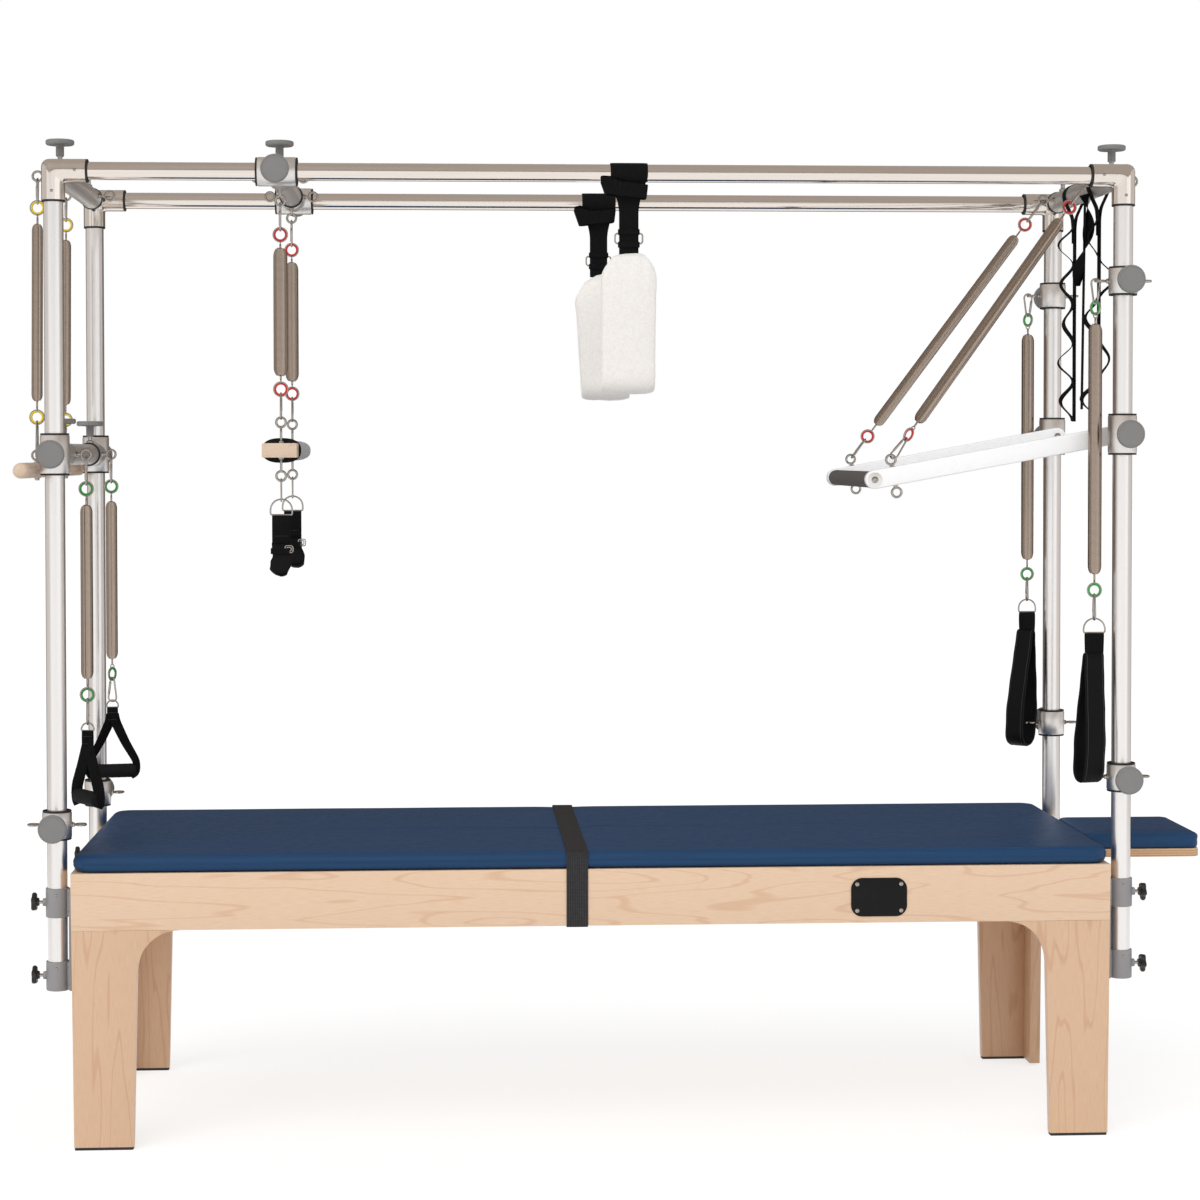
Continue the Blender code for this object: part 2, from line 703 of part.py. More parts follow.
def make_push_bar(root, body, mats):
    """Make the push-through bar, its grip and the two post clamps that it turns in."""
    for row, side_y in (("front", -1), ("rear", 1)):
        spot = Vector((POST_X, side_y * POST_Y, PUSH_BAR_Z))
        half = Z_AXIS * TEE_HEIGHT / 2
        base = rod(spot - half, spot + half, CLAMP_RADIUS)
        joined = knob_shapes(spot, Y_AXIS * side_y, CLAMP_RADIUS - 0.004)
        cut = [rod(spot - half * 1.05, spot + half * 1.05, POST_RADIUS + GAP)]
        made("push_clamp_" + row, mats["cast"], root, base, joined, cut)
    angle = math.radians(ARM_DROP_DEG)
    along_arm = Vector((-math.cos(angle), 0, -math.sin(angle)))
    across = Vector((-math.sin(angle), 0, math.cos(angle)))
    pivot = Vector((POST_X, 0, PUSH_BAR_Z))
    tip = pivot + along_arm * ARM_LENGTH
    half = ARM_HEIGHT / 2
    outline = []
    start_deg = math.degrees(math.atan2(across.z, across.x))
    for middle, start in ((pivot, start_deg - 180), (tip, start_deg)):
        outline += arc((middle.x, middle.z), half, start, start + 180, 6)
    arms = []
    for side_y in (-1, 1):
        low = side_y * ARM_Y - ARM_THICK / 2
        arms.append(prism(outline, "Y", low, low + ARM_THICK))
        inner = POST_Y - CLAMP_RADIUS - GAP
        hub = [Vector((POST_X, side_y * y, PUSH_BAR_Z)) for y in (ARM_Y, inner)]
        arms.append(rod(hub[0], hub[1], PIVOT_RADIUS * 1.6, 12))
        for lift in (1, -1):
            middle = pivot + along_arm * (ARM_LENGTH - ARM_EYE_BACK) + Y_AXIS * side_y * ARM_Y
            arms += eye_shapes(middle, across * lift, Y_AXIS, half - 0.002, half + EYE_RING * 1.6)
    core = rod(tip - Y_AXIS * ARM_Y, tip + Y_AXIS * ARM_Y, GRIP_RADIUS * 0.6, FACETS)
    made("push_bar", mats["white"], body, core, arms)
    end = ARM_Y - ARM_THICK / 2 - GAP
    wall = GRIP_RADIUS * 0.4 - GAP
    grip = pipe(tip - Y_AXIS * end, tip + Y_AXIS * end, GRIP_RADIUS, wall)
    made("push_bar_grip", mats["foam"], body, grip)


def link_mesh(top, bottom, flat_axis):
    """Make a snap hook as a flat oval link that closes round the points at its two ends."""
    top = Vector(top)
    bottom = Vector(bottom)
    down = (bottom - top).normalized()
    flat = Vector(flat_axis).normalized()
    side = down.cross(flat).normalized()
    half = LINK_WIDTH / 2
    rings = []
    for radius in (half, half - LINK_WIRE):
        points = []
        for middle, start in ((top + down * half, 0), (bottom - down * half, 180)):
            for k in range(5):
                angle = math.radians(start + 180 * k / 4)
                points.append(middle + side * radius * math.cos(angle) - down * radius * math.sin(angle))
        rings.append(points)
    count = len(rings[0])
    verts = []
    for points in rings:
        for shift in (-LINK_WIRE / 2, LINK_WIRE / 2):
            verts += [p + flat * shift for p in points]
    faces = []
    for k in range(count):
        n = (k + 1) % count
        faces.append((k, n, count + n, count + k))
        faces.append((2 * count + n, 2 * count + k, 3 * count + k, 3 * count + n))
        faces.append((count + k, count + n, 3 * count + n, 3 * count + k))
        faces.append((n, k, 2 * count + k, 2 * count + n))
    return mesh_from(verts, faces)


def spring_shapes(top, bottom, radius, flat_top, flat_bottom):
    """Return a spring's base and joined shapes: coil, two rings and two snap hooks.

    The hooks' outer ends lie at the top and bottom points.
    """
    top = Vector(top)
    bottom = Vector(bottom)
    down = (bottom - top).normalized()
    total = (bottom - top).length
    ring_at = LINK_LENGTH + RING_RADIUS - LINK_WIRE * 0.7
    start = ring_at + RING_RADIUS + NECK_LENGTH
    end = total - start
    taper = radius * 1.2
    neck = SPRING_NECK
    profile = [
        (0, ring_at + RING_RADIUS - RING_WIRE * 0.2),
        (neck, ring_at + RING_RADIUS - RING_WIRE * 0.2),
        (neck, start),
        (radius * 0.55, start),
        (radius, start + taper),
        (radius, end - taper),
        (radius * 0.55, end),
        (neck, end),
        (neck, total - ring_at - RING_RADIUS + RING_WIRE * 0.2),
        (0, total - ring_at - RING_RADIUS + RING_WIRE * 0.2),
    ]
    base = turned(profile, down, top, COIL_FACETS)
    side_top = Vector(flat_top)
    side_bottom = Vector(flat_bottom)
    joined = [
        ring(top + down * ring_at, down.cross(side_top), RING_RADIUS, RING_WIRE),
        ring(bottom - down * ring_at, down.cross(side_bottom), RING_RADIUS, RING_WIRE),
        link_mesh(top, top + down * LINK_LENGTH, side_top),
        link_mesh(bottom - down * LINK_LENGTH, bottom, side_bottom),
    ]
    return base, joined


def hook_top(eye_centre):
    """Return the top of a hook that hangs in an eye ring standing in the X-Z plane."""
    x, y, z = eye_centre
    return x, y, z - EYE_RING + EYE_WIRE + GAP + LINK_WIRE


def make_springs(bodies, mats):
    """Make the ten springs, with the hand and foot loops that hang on four of them."""
    roll_eye = (ROLL_X, ROLL_Z + ROLL_RADIUS + EYE_RING * 1.5)
    trapeze_eye = TRAPEZE_Z + TRAPEZE_THICK / 2 + 0.030
    for row, side_y in (("front", -1), ("rear", 1)):
        y = side_y * EYE_Y
        top = hook_top((-POST_X - EYE_REACH, y, RAIL_Z))
        low = roll_eye[1] + EYE_RING - EYE_WIRE - GAP - LINK_WIRE
        base, joined = spring_shapes(top, (roll_eye[0], y, low), SPRING_LIGHT, X_AXIS, X_AXIS)
        made("roll_spring_" + row, mats["steel"], bodies["roll"], base, joined)

        top = hook_top((CARRIAGE_X, y, RAIL_Z - EYE_REACH))
        low = trapeze_eye + EYE_RING - EYE_WIRE - GAP - LINK_WIRE
        base, joined = spring_shapes(top, (CARRIAGE_X, y, low), SPRING_HEAVY, X_AXIS, X_AXIS)
        made("trapeze_spring_" + row, mats["steel"], bodies["trapeze"], base, joined)

        make_push_spring(row, side_y, bodies, mats)
        make_hand_spring(row, side_y, bodies, mats)
        make_foot_spring(row, side_y, bodies, mats)


def make_push_spring(row, side_y, bodies, mats):
    """Make the slanted spring from the right end bar down to the push bar's upper eye."""
    eye = Vector((POST_X - EYE_REACH, side_y * EYE_Y, RAIL_Z))
    half = ARM_HEIGHT / 2
    low_x, low_z = push_point(ARM_EYE_BACK, half + EYE_RING * 1.6)
    low_eye = Vector((low_x, side_y * ARM_Y, low_z))
    down = (low_eye - eye).normalized()
    inset = EYE_RING - EYE_WIRE - GAP * 4 - LINK_WIRE
    top = eye + down * inset
    bottom = low_eye - down * inset
    flat = down.cross(Y_AXIS).normalized()
    base, joined = spring_shapes(top, bottom, SPRING_MEDIUM, flat, flat)
    made("push_spring_" + row, mats["steel"], bodies["root"], base, joined)


def loop_outlines(top_z, centre, width, height, web):
    """Return a teardrop loop's outer and inner outlines, narrow at its top."""
    outlines = []
    for shrink in (0, web):
        half = width / 2 - shrink
        low = top_z - height + shrink
        middle = low + half
        points = arc((centre, middle), half, 180, 360, 8)
        top = top_z - shrink * 2.2
        points += [(centre + max(half * 0.30, 0.002), top), (centre - max(half * 0.30, 0.002), top)]
        outlines.append(points)
    return outlines


def make_hand_spring(row, side_y, bodies, mats):
    """Make a long spring on the middle bar with a webbing hand loop and its grip."""
    y = side_y * EYE_Y
    x = -POST_X + EYE_REACH
    top = hook_top((x, y, MID_BAR_Z))
    low = top[2] - HAND_SPRING_LENGTH
    base, joined = spring_shapes(top, (x, y, low), SPRING_MEDIUM, X_AXIS, X_AXIS)
    loop_top = low + LINK_WIRE * 1.4
    half_top = 0.014
    half = HAND_LOOP_WIDTH / 2
    bottom = loop_top - HAND_LOOP_HEIGHT - 0.020
    web = 0.007
    outer = [(-half_top, loop_top), (-half, bottom), (half, bottom), (half_top, loop_top)]
    inner = [(-half_top * 0.3, loop_top - 0.045), (-half + web * 1.6, bottom + 2 * web),
             (half - web * 1.6, bottom + 2 * web), (half_top * 0.3, loop_top - 0.045)]
    depth = HAND_LOOP_WEB / 2
    if side_y > 0:
        plane, middle, flat = "Y", x, y
    else:
        plane, middle, flat = "X", y, x
    outer = [(middle + a, z) for a, z in outer]
    inner = [(middle + a, z) for a, z in inner]
    joined.append(loop_band(outer, inner, plane, flat - depth, flat + depth))
    grip_axis = X_AXIS if side_y > 0 else Y_AXIS
    grip = Vector((x, y, bottom + HAND_GRIP_RADIUS * 0.6))
    joined.append(rod(grip - grip_axis * half * 0.94, grip + grip_axis * half * 0.94, HAND_GRIP_RADIUS, 10))
    made("hand_spring_" + row, mats["steel"], bodies["hand_" + row], base, joined)


def make_foot_spring(row, side_y, bodies, mats):
    """Make a long spring on a high collar with a webbing foot loop that leans forward."""
    x = POST_X - EYE_REACH - EYE_RING
    y = side_y * POST_Y
    high = HIGH_RIGHT_FRONT_Z if side_y < 0 else HIGH_RIGHT_REAR_Z
    top = Vector((x, y, high + EYE_WIRE + GAP + LINK_WIRE))
    low = top.z - SPRING_LONG_LENGTH
    base, joined = spring_shapes(top, (x, y, low), SPRING_LONG, Y_AXIS, X_AXIS)
    loop_top = low + LINK_WIRE * 1.4
    if side_y > 0:
        outer, inner = loop_outlines(loop_top, x, FOOT_LOOP_WIDTH, FOOT_LOOP_HEIGHT, FOOT_LOOP_THICK)
        half = FOOT_LOOP_WEB * 0.35
        band = loop_band(outer, inner, "Y", y - half, y + half)
    else:
        width = FOOT_LOOP_WIDTH * 0.45
        outer, inner = loop_outlines(loop_top, y, width, FOOT_LOOP_HEIGHT, FOOT_LOOP_THICK)
        half = FOOT_LOOP_WEB / 2
        band = loop_band(outer, inner, "X", x - half, x + half)
    lean = Matrix.Identity(4)
    lean[0][2] = FOOT_LOOP_LEAN / 3
    lean[1][2] = FOOT_LOOP_LEAN
    hang = Matrix.Translation((0, 0, loop_top))
    band.transform(hang @ lean @ hang.inverted())
    joined.append(band)
    made("foot_spring_" + row, mats["steel"], bodies["foot_" + row], base, joined)


def make_bars(bodies, mats):
    """Make the wooden roll-down bar and the trapeze bar with its eye bolts and cuffs."""
    half = ROLL_LENGTH / 2
    base = rod((ROLL_X, -half, ROLL_Z), (ROLL_X, half, ROLL_Z), ROLL_RADIUS)
    joined = []
    for side_y in (-1, 1):
        spot = (ROLL_X, side_y * EYE_Y, ROLL_Z)
        joined += eye_shapes(spot, Z_AXIS, Y_AXIS, ROLL_RADIUS - 0.003, ROLL_RADIUS + EYE_RING * 1.5)
    made("roll_bar", mats["beech"], bodies["roll"], base, joined)

    half = TRAPEZE_LENGTH / 2
    rise = TRAPEZE_THICK / 2
    wide = TRAPEZE_WIDTH / 2
    base = block((CARRIAGE_X - wide, -half, TRAPEZE_Z - rise), (CARRIAGE_X + wide, half, TRAPEZE_Z + rise))
    joined = []
    for side_y in (-1, 1):
        spot = Vector((CARRIAGE_X, side_y * EYE_Y, TRAPEZE_Z))
        joined += eye_shapes(spot, Z_AXIS, Y_AXIS, 0.002, rise + 0.030)
        joined += eye_shapes(spot, -Z_AXIS, Y_AXIS, 0.002, rise + 0.030)
        low = TRAPEZE_Z - rise - 0.030 - EYE_RING
        strap_low = low - 0.060
        joined.append(rod((spot.x, spot.y, low + EYE_WIRE), (spot.x, spot.y, strap_low), 0.003, 6))
        cuff_low = (CARRIAGE_X - CUFF_WIDTH / 2, spot.y - CUFF_THICK / 2, strap_low - CUFF_HEIGHT)
        cuff_high = (CARRIAGE_X + CUFF_WIDTH / 2, spot.y + CUFF_THICK / 2, strap_low + 0.004)
        joined.append(block(cuff_low, cuff_high))
    made("trapeze_bar", mats["beech"], bodies["trapeze"], base, joined)


def make_slings(bodies, mats):
    """Make the two fleece slings, each a padded loop on a webbing strap over its rail."""
    for row, side_y, x in (("front", -1, SLING_X[0]), ("rear", 1, SLING_X[1])):
        y = side_y * POST_Y
        depth = SLING_DEPTH / 2
        inner_depth = depth - SLING_LAYER
        outer = arc((y, SLING_BOTTOM_Z + depth), depth, 180, 360, 6)
        outer += arc((y, SLING_TOP_Z - depth), depth, 0, 180, 6)
        inner = arc((y, SLING_BOTTOM_Z + depth), inner_depth, 180, 360, 6)
        inner += arc((y, SLING_TOP_Z - depth), inner_depth, 0, 180, 6)
        base = loop_band(outer, inner, "X", x - SLING_WIDTH / 2, x + SLING_WIDTH / 2)
        strap_in = (RAIL_RADIUS + GAP) / math.cos(math.radians(15))
        strap_out = strap_in + SLING_STRAP_THICK
        low = SLING_TOP_Z - 0.010
        half = SLING_STRAP_THICK * 0.9
        outer = [(y - half, low)] + arc((y, RAIL_Z), strap_out, 210, -30, 8) + [(y + half, low)]
        bottom = RAIL_Z - strap_out * 1.6
        inner = [(y - half * 0.2, bottom)] + arc((y, RAIL_Z), strap_in + GAP, 210, -30, 8)
        inner += [(y + half * 0.2, bottom)]
        strap = loop_band(outer, inner, "X", x - SLING_STRAP / 2, x + SLING_STRAP / 2)
        made("sling_" + row, mats["fleece"], bodies["sling_" + row], base, [strap])


def make_safety_straps(bodies, mats):
    """Make the two looped safety straps that hang from the right end bar."""
    for row, side_y in (("front", -1), ("rear", 1)):
        y = side_y * SAFETY_Y
        inside = (BAR_RADIUS + GAP) / math.cos(math.radians(16))
        outside = inside + 0.003
        half = 0.003
        outer = [(POST_X - half, RAIL_Z - outside - 0.030)]
        outer += arc((POST_X, RAIL_Z), outside, 215, -35, 8)
        outer += [(POST_X + half, RAIL_Z - outside - 0.030)]
        inner = [(POST_X - half * 0.2, RAIL_Z - inside * 1.5)]
        inner += arc((POST_X, RAIL_Z), inside + GAP, 215, -35, 8)
        inner += [(POST_X + half * 0.2, RAIL_Z - inside * 1.5)]
        base = loop_band(outer, inner, "Y", y - SAFETY_WIDTH / 2, y + SAFETY_WIDTH / 2)
        top = RAIL_Z - outside - 0.020
        left = (POST_X - SAFETY_DEPTH, y - SAFETY_WIDTH / 2 + 0.001, SAFETY_BOTTOM_Z)
        right = (POST_X + 0.004, y + SAFETY_WIDTH / 2 - 0.001, top)
        made("safety_strap_" + row, mats["webbing"], bodies["safety_" + row], base, [block(left, right)])


def collar_heights(side_y):
    """Return the heights of the low left, high right and low right collars of a row."""
    if side_y < 0:
        return LOW_LEFT_FRONT_Z, HIGH_RIGHT_FRONT_Z, LOW_RIGHT_FRONT_Z
    return LOW_LEFT_REAR_Z, HIGH_RIGHT_REAR_Z, LOW_RIGHT_REAR_Z


def make_bodies():
    """Make an empty on the axis of every moving body."""
    root = body_empty("frame_axis", (0, 0, 0))
    bodies = {"root": root}
    carriage = body_empty("carriage_axis", (CARRIAGE_X, 0, RAIL_Z), root)
    bodies["carriage"] = carriage
    hook = RAIL_Z - EYE_REACH - EYE_RING + EYE_WIRE + GAP + LINK_WIRE / 2
    bodies["trapeze"] = body_empty("trapeze_axis", (CARRIAGE_X, 0, hook), carriage)
    bodies["push"] = body_empty("push_axis", (POST_X, 0, PUSH_BAR_Z), root)
    mid = body_empty("mid_bar_axis", (-POST_X, 0, MID_BAR_Z), root)
    bodies["mid"] = mid
    hang = -EYE_RING + EYE_WIRE + GAP + LINK_WIRE / 2
    bodies["roll"] = body_empty("roll_axis", (-POST_X - EYE_REACH, 0, RAIL_Z + hang), root)
    for row, side_y in (("front", -1), ("rear", 1)):
        y = side_y * POST_Y
        spot = (-POST_X + EYE_REACH, side_y * EYE_Y, MID_BAR_Z + hang)
        bodies["hand_" + row] = body_empty("hand_axis_" + row, spot, mid)
        low_left, high_right, low_right = collar_heights(side_y)
        bodies["low_left_" + row] = body_empty("low_left_axis_" + row, (-POST_X, y, low_left), root)
        high = body_empty("high_right_axis_" + row, (POST_X, y, high_right), root)
        bodies["high_right_" + row] = high
        spot = (POST_X - EYE_REACH - EYE_RING, y, high_right + EYE_WIRE + GAP + LINK_WIRE / 2)
        bodies["foot_" + row] = body_empty("foot_axis_" + row, spot, high)
        bodies["low_right_" + row] = body_empty("low_right_axis_" + row, (POST_X, y, low_right), root)
        bodies["sling_" + row] = body_empty("sling_axis_" + row, (0, y, RAIL_Z), root)
        spot = (POST_X, side_y * SAFETY_Y, RAIL_Z)
        bodies["safety_" + row] = body_empty("safety_axis_" + row, spot, root)
    return bodies


def make_materials():
    """Make the material of every finish."""
    return {
        "maple": material("maple", (0.76, 0.56, 0.37), 0.45),
        "plywood": material("plywood", (0.62, 0.42, 0.25), 0.55),
        "vinyl": material("vinyl", (0.035, 0.085, 0.17), 0.35),
        "webbing": material("webbing", (0.012, 0.012, 0.012), 0.75),
        "black": material("black", (0.015, 0.015, 0.015), 0.40),
        "grey": material("grey", (0.20, 0.21, 0.22), 0.45, 0.3),
        "aluminium": material("aluminium", (0.62, 0.61, 0.60), 0.35, 1.0),
        "chrome": material("chrome", (0.60, 0.57, 0.53), 0.12, 1.0),
        "cast": material("cast", (0.52, 0.52, 0.52), 0.40, 1.0),
        "white": material("white", (0.80, 0.80, 0.80), 0.30),
        "foam": material("foam", (0.06, 0.055, 0.05), 0.85),
        "steel": material("steel", (0.42, 0.36, 0.31), 0.30, 1.0),
        "beech": material("beech", (0.70, 0.50, 0.36), 0.50),
        "fleece": material("fleece", (0.82, 0.79, 0.74), 0.95),
    }


def main():
    """Make the whole trapeze table."""
    clear_scene()
    mats = make_materials()
    bodies = make_bodies()
    root = bodies["root"]
    make_table(root, mats)
    make_head_rest(root, mats)
    make_posts(root, mats)
    down_eye = (-Z_AXIS, Y_AXIS, EYE_REACH)
    side_eyes = ((X_AXIS, Y_AXIS, EYE_REACH), (-X_AXIS, Y_AXIS, EYE_REACH))
    make_cross_bar("carriage", bodies["carriage"], mats, (CARRIAGE_X, 0, RAIL_Z), X_AXIS,
                   TEE_LENGTH, RAIL_RADIUS, Z_AXIS, (*side_eyes, down_eye))
    make_cross_bar("mid_bar", bodies["mid"], mats, (-POST_X, 0, MID_BAR_Z), Z_AXIS,
                   TEE_HEIGHT, POST_RADIUS, Z_AXIS, side_eyes[:1])
    for row, side_y in (("front", -1), ("rear", 1)):
        y = side_y * POST_Y
        both = (X_AXIS, -X_AXIS)
        low_left, high_right, low_right = collar_heights(side_y)
        make_collar("low_left_clamp_" + row, bodies["low_left_" + row], mats,
                    (-POST_X, y, low_left), side_y, CLAMP_HEIGHT, both)
        make_collar("high_right_clamp_" + row, bodies["high_right_" + row], mats,
                    (POST_X, y, high_right), side_y, CLAMP_HEIGHT, both)
        make_collar("low_right_clamp_" + row, bodies["low_right_" + row], mats,
                    (POST_X, y, low_right), side_y, CLAMP_HEIGHT, both)
    make_push_bar(root, bodies["push"], mats)
    make_springs(bodies, mats)
    make_bars(bodies, mats)
    make_slings(bodies, mats)
    make_safety_straps(bodies, mats)
    bpy.context.view_layer.update()


main()
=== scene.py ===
"""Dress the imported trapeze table: table, canopy, clamps, springs, bars, loops and slings.

Every size is in metres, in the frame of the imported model.
"""

import logging
import math
from dataclasses import dataclass, field
from enum import Enum
from typing import Callable, Optional, Sequence, Union

import bmesh
import bpy
from mathutils import Matrix, Vector, noise


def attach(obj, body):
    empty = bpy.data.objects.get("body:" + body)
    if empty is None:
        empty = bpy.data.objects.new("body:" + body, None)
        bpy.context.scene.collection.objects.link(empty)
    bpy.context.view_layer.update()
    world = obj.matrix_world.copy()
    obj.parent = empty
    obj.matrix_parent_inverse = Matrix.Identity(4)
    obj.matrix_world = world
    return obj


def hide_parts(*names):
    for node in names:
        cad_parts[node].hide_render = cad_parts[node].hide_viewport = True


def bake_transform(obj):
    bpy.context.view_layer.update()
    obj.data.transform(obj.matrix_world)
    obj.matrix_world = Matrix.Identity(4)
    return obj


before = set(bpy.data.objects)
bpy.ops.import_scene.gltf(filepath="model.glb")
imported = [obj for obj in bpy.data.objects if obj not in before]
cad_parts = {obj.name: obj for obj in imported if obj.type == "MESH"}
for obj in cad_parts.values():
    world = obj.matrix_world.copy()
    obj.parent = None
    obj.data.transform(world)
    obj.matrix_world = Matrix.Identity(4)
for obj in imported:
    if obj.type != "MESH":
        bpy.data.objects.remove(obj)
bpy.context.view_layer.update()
LOG = logging.getLogger("trapeze_table")

CENTRE_X = 0.0795  # the table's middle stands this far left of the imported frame's origin
POST_X = 1.145
POST_Y = 0.330
RAIL_Z = 2.073
EYE_Y = 0.215
TOP_KNOB_Y = 0.228
CARRIAGE_X = -0.675
MID_BAR_Z = 1.474
PUSH_BAR_Z = 1.515
TABLE_TOP = 0.588
BAR_RADIUS = 0.0235
CLAMP_RADIUS = 0.031
EYE_RING = 0.0104
FIT = 0.0003  # the gap that keeps two touching pieces apart
WALL_X = 1.112 + FIT
HANG = 0.0052  # how far a hook reaches past the middle of the wire that it hangs on
WAVE_PERIOD = 0.31416  # a Wave texture of scale 1 repeats after this many metres

Point = Sequence[float]
Path = Sequence[Vector]
Pairs = list[tuple[float, float]]
Tree = bpy.types.NodeTree
Socket = bpy.types.NodeSocket
Link = Union[bpy.types.Node, bpy.types.NodeSocket]


class Axis(Enum):
    """A direction of the frame."""

    X = (1.0, 0.0, 0.0)
    Y = (0.0, 1.0, 0.0)
    Z = (0.0, 0.0, 1.0)


X, Y, Z = (Vector(axis.value) for axis in Axis)


class Side(Enum):
    """A side of the table, whose value is its sign in the frame."""

    @property
    def label(self) -> str:
        """Return the side's word in names."""
        return self.name.lower()


class Row(Side):
    """A long side of the table."""

    FRONT = -1
    REAR = 1

    @property
    def out(self) -> Vector:
        """Return the direction away from the table's middle."""
        return Y * self.value


class End(Side):
    """A short end of the table."""

    LEFT = -1
    RIGHT = 1

    @property
    def out(self) -> Vector:
        """Return the direction away from the table's middle."""
        return X * self.value


def spot(x: float, y: float, z: float) -> Vector:
    """Return a point given from the table's middle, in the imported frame."""
    return Vector((x - CENTRE_X, y, z))


def linear(code: str) -> tuple[float, float, float, float]:
    """Turn an sRGB hex colour to linear.

    Args:
        code: The colour, such as "#AABBCC".

    Returns:
        Red, green, blue and alpha for a shader socket.
    """
    values = [int(code[k : k + 2], 16) / 255 for k in (1, 3, 5)]
    parts = [v / 12.92 if v <= 0.04045 else ((v + 0.055) / 1.055) ** 2.4 for v in values]
    return parts[0], parts[1], parts[2], 1.0


def empty_tree(owner: bpy.types.ID) -> Tree:
    """Turn on the nodes of a material or a world.

    Args:
        owner: The material or world.

    Returns:
        Its node tree, with no nodes in it.
    """
    owner.use_nodes = True
    owner.node_tree.nodes.clear()
    return owner.node_tree


def add_node(tree: Tree, kind: str, inputs: Optional[dict] = None, **settings: object) -> bpy.types.Node:
    """Add a node with its settings, input values and links.

    Args:
        tree: The material's or world's node tree.
        kind: The node's type, without the leading ShaderNode.
        inputs: A value, or a socket or node to link, for each input's name or number.
        settings: The node's own attributes.

    Returns:
        The new node.
    """
    node = tree.nodes.new("ShaderNode" + kind)
    for key, value in settings.items():
        setattr(node, key, value)
    for key, value in (inputs or {}).items():
        if isinstance(value, bpy.types.Node):
            value = value.outputs[0]
        if isinstance(value, bpy.types.NodeSocket):
            tree.links.new(value, node.inputs[key])
        else:
            node.inputs[key].default_value = value
    return node


@dataclass(frozen=True)
class Look:
    """What a finish's own nodes give to its shader: a mix of two colours, a relief and a gloss."""

    share: Link
    second: Sequence[float]
    height: Link
    strength: float
    depth: float
    rough: Union[float, Link]
    first: Optional[Socket] = None
    extras: dict = field(default_factory=dict)


@dataclass(frozen=True)
class Finish:
    """A real material and the way its surface was made."""

    name: str
    colour: str
    roughness: float

    def material(self) -> bpy.types.Material:
        """Return the finish's material, which is made once.

        Returns:
            The material.
        """
        found = bpy.data.materials.get(self.name)
        if found is not None:
            return found
        made = bpy.data.materials.new(self.name)
        tree = empty_tree(made)
        look = self.look(tree, add_node(tree, "TexCoord").outputs["Object"])
        first = linear(self.colour) if look.first is None else look.first
        colour = add_node(tree, "Mix", {0: look.share, 6: first, 7: look.second}, data_type="RGBA").outputs[2]
        relief = {"Strength": look.strength, "Distance": look.depth, "Height": look.height}
        inputs = {"Base Color": colour, "Roughness": look.rough, "Normal": add_node(tree, "Bump", relief)}
        shader = add_node(tree, "BsdfPrincipled", {**inputs, **look.extras})
        add_node(tree, "OutputMaterial", {"Surface": shader})
        return made

    def look(self, tree: Tree, place: Socket) -> Look:
        """Add the finish's nodes.

        Args:
            tree: The material's node tree.
            place: The point on the piece, in metres.

        Returns:
            What the shader takes.
        """
        raise NotImplementedError


@dataclass(frozen=True)
class LacqueredWood(Finish):
    """Planed hardwood under clear satin lacquer.

    The eye sees a pale ground, slow cathedral bands that follow the board, and short fine
    fibre lines.
    """

    band: str = "#CFA27C"
    grain: Axis = Axis.X
    figure_along: float = 0.62
    figure_across: float = 0.060
    fibre_along: float = 0.030
    fibre_across: float = 0.0011
    turns: float = 46.0
    depth: float = 0.42
    coat: float = 0.25

    def look(self, tree: Tree, place: Socket) -> Look:
        """Add bands, fibres and lacquer.

        Args:
            tree: The material's node tree.
            place: The point on the piece, in metres.

        Returns:
            What the shader takes.
        """
        index = list(Axis).index(self.grain)
        broad, fine = [1 / self.figure_across] * 3, [1 / self.fibre_across] * 3
        broad[index], fine[index] = 1 / self.figure_along, 1 / self.fibre_along
        slow = {"Scale": 1.0, "Detail": 2.0, "Roughness": 0.35, "Distortion": 0.3}
        slow["Vector"] = add_node(tree, "Mapping", {"Vector": place, "Scale": broad})
        phase = {0: add_node(tree, "TexNoise", slow), 1: self.turns}
        rings = add_node(tree, "Math", phase, operation="MULTIPLY")
        rings = add_node(tree, "Math", {0: rings}, operation="SINE")
        bands = {"Value": rings, "From Min": 0.86, "From Max": 1.0, "To Max": self.depth}
        rings = add_node(tree, "MapRange", bands)
        fibre = add_node(tree, "Mapping", {"Vector": place, "Scale": fine})
        fibre = add_node(tree, "TexNoise", {"Vector": fibre, "Scale": 1.0, "Detail": 3.0, "Roughness": 0.6})
        fleck = {"Value": fibre, "From Min": 0.42, "From Max": 0.72, "To Max": 0.34}
        flecks = add_node(tree, "MapRange", fleck)
        band = linear(self.band)
        tint = {0: rings, 6: linear(self.colour), 7: band}
        ground = add_node(tree, "Mix", tint, data_type="RGBA").outputs[2]
        coat = {"Coat Weight": self.coat, "Coat Roughness": 0.22}
        return Look(flecks, band, fibre, 0.25, 0.0002, self.roughness, ground, coat)


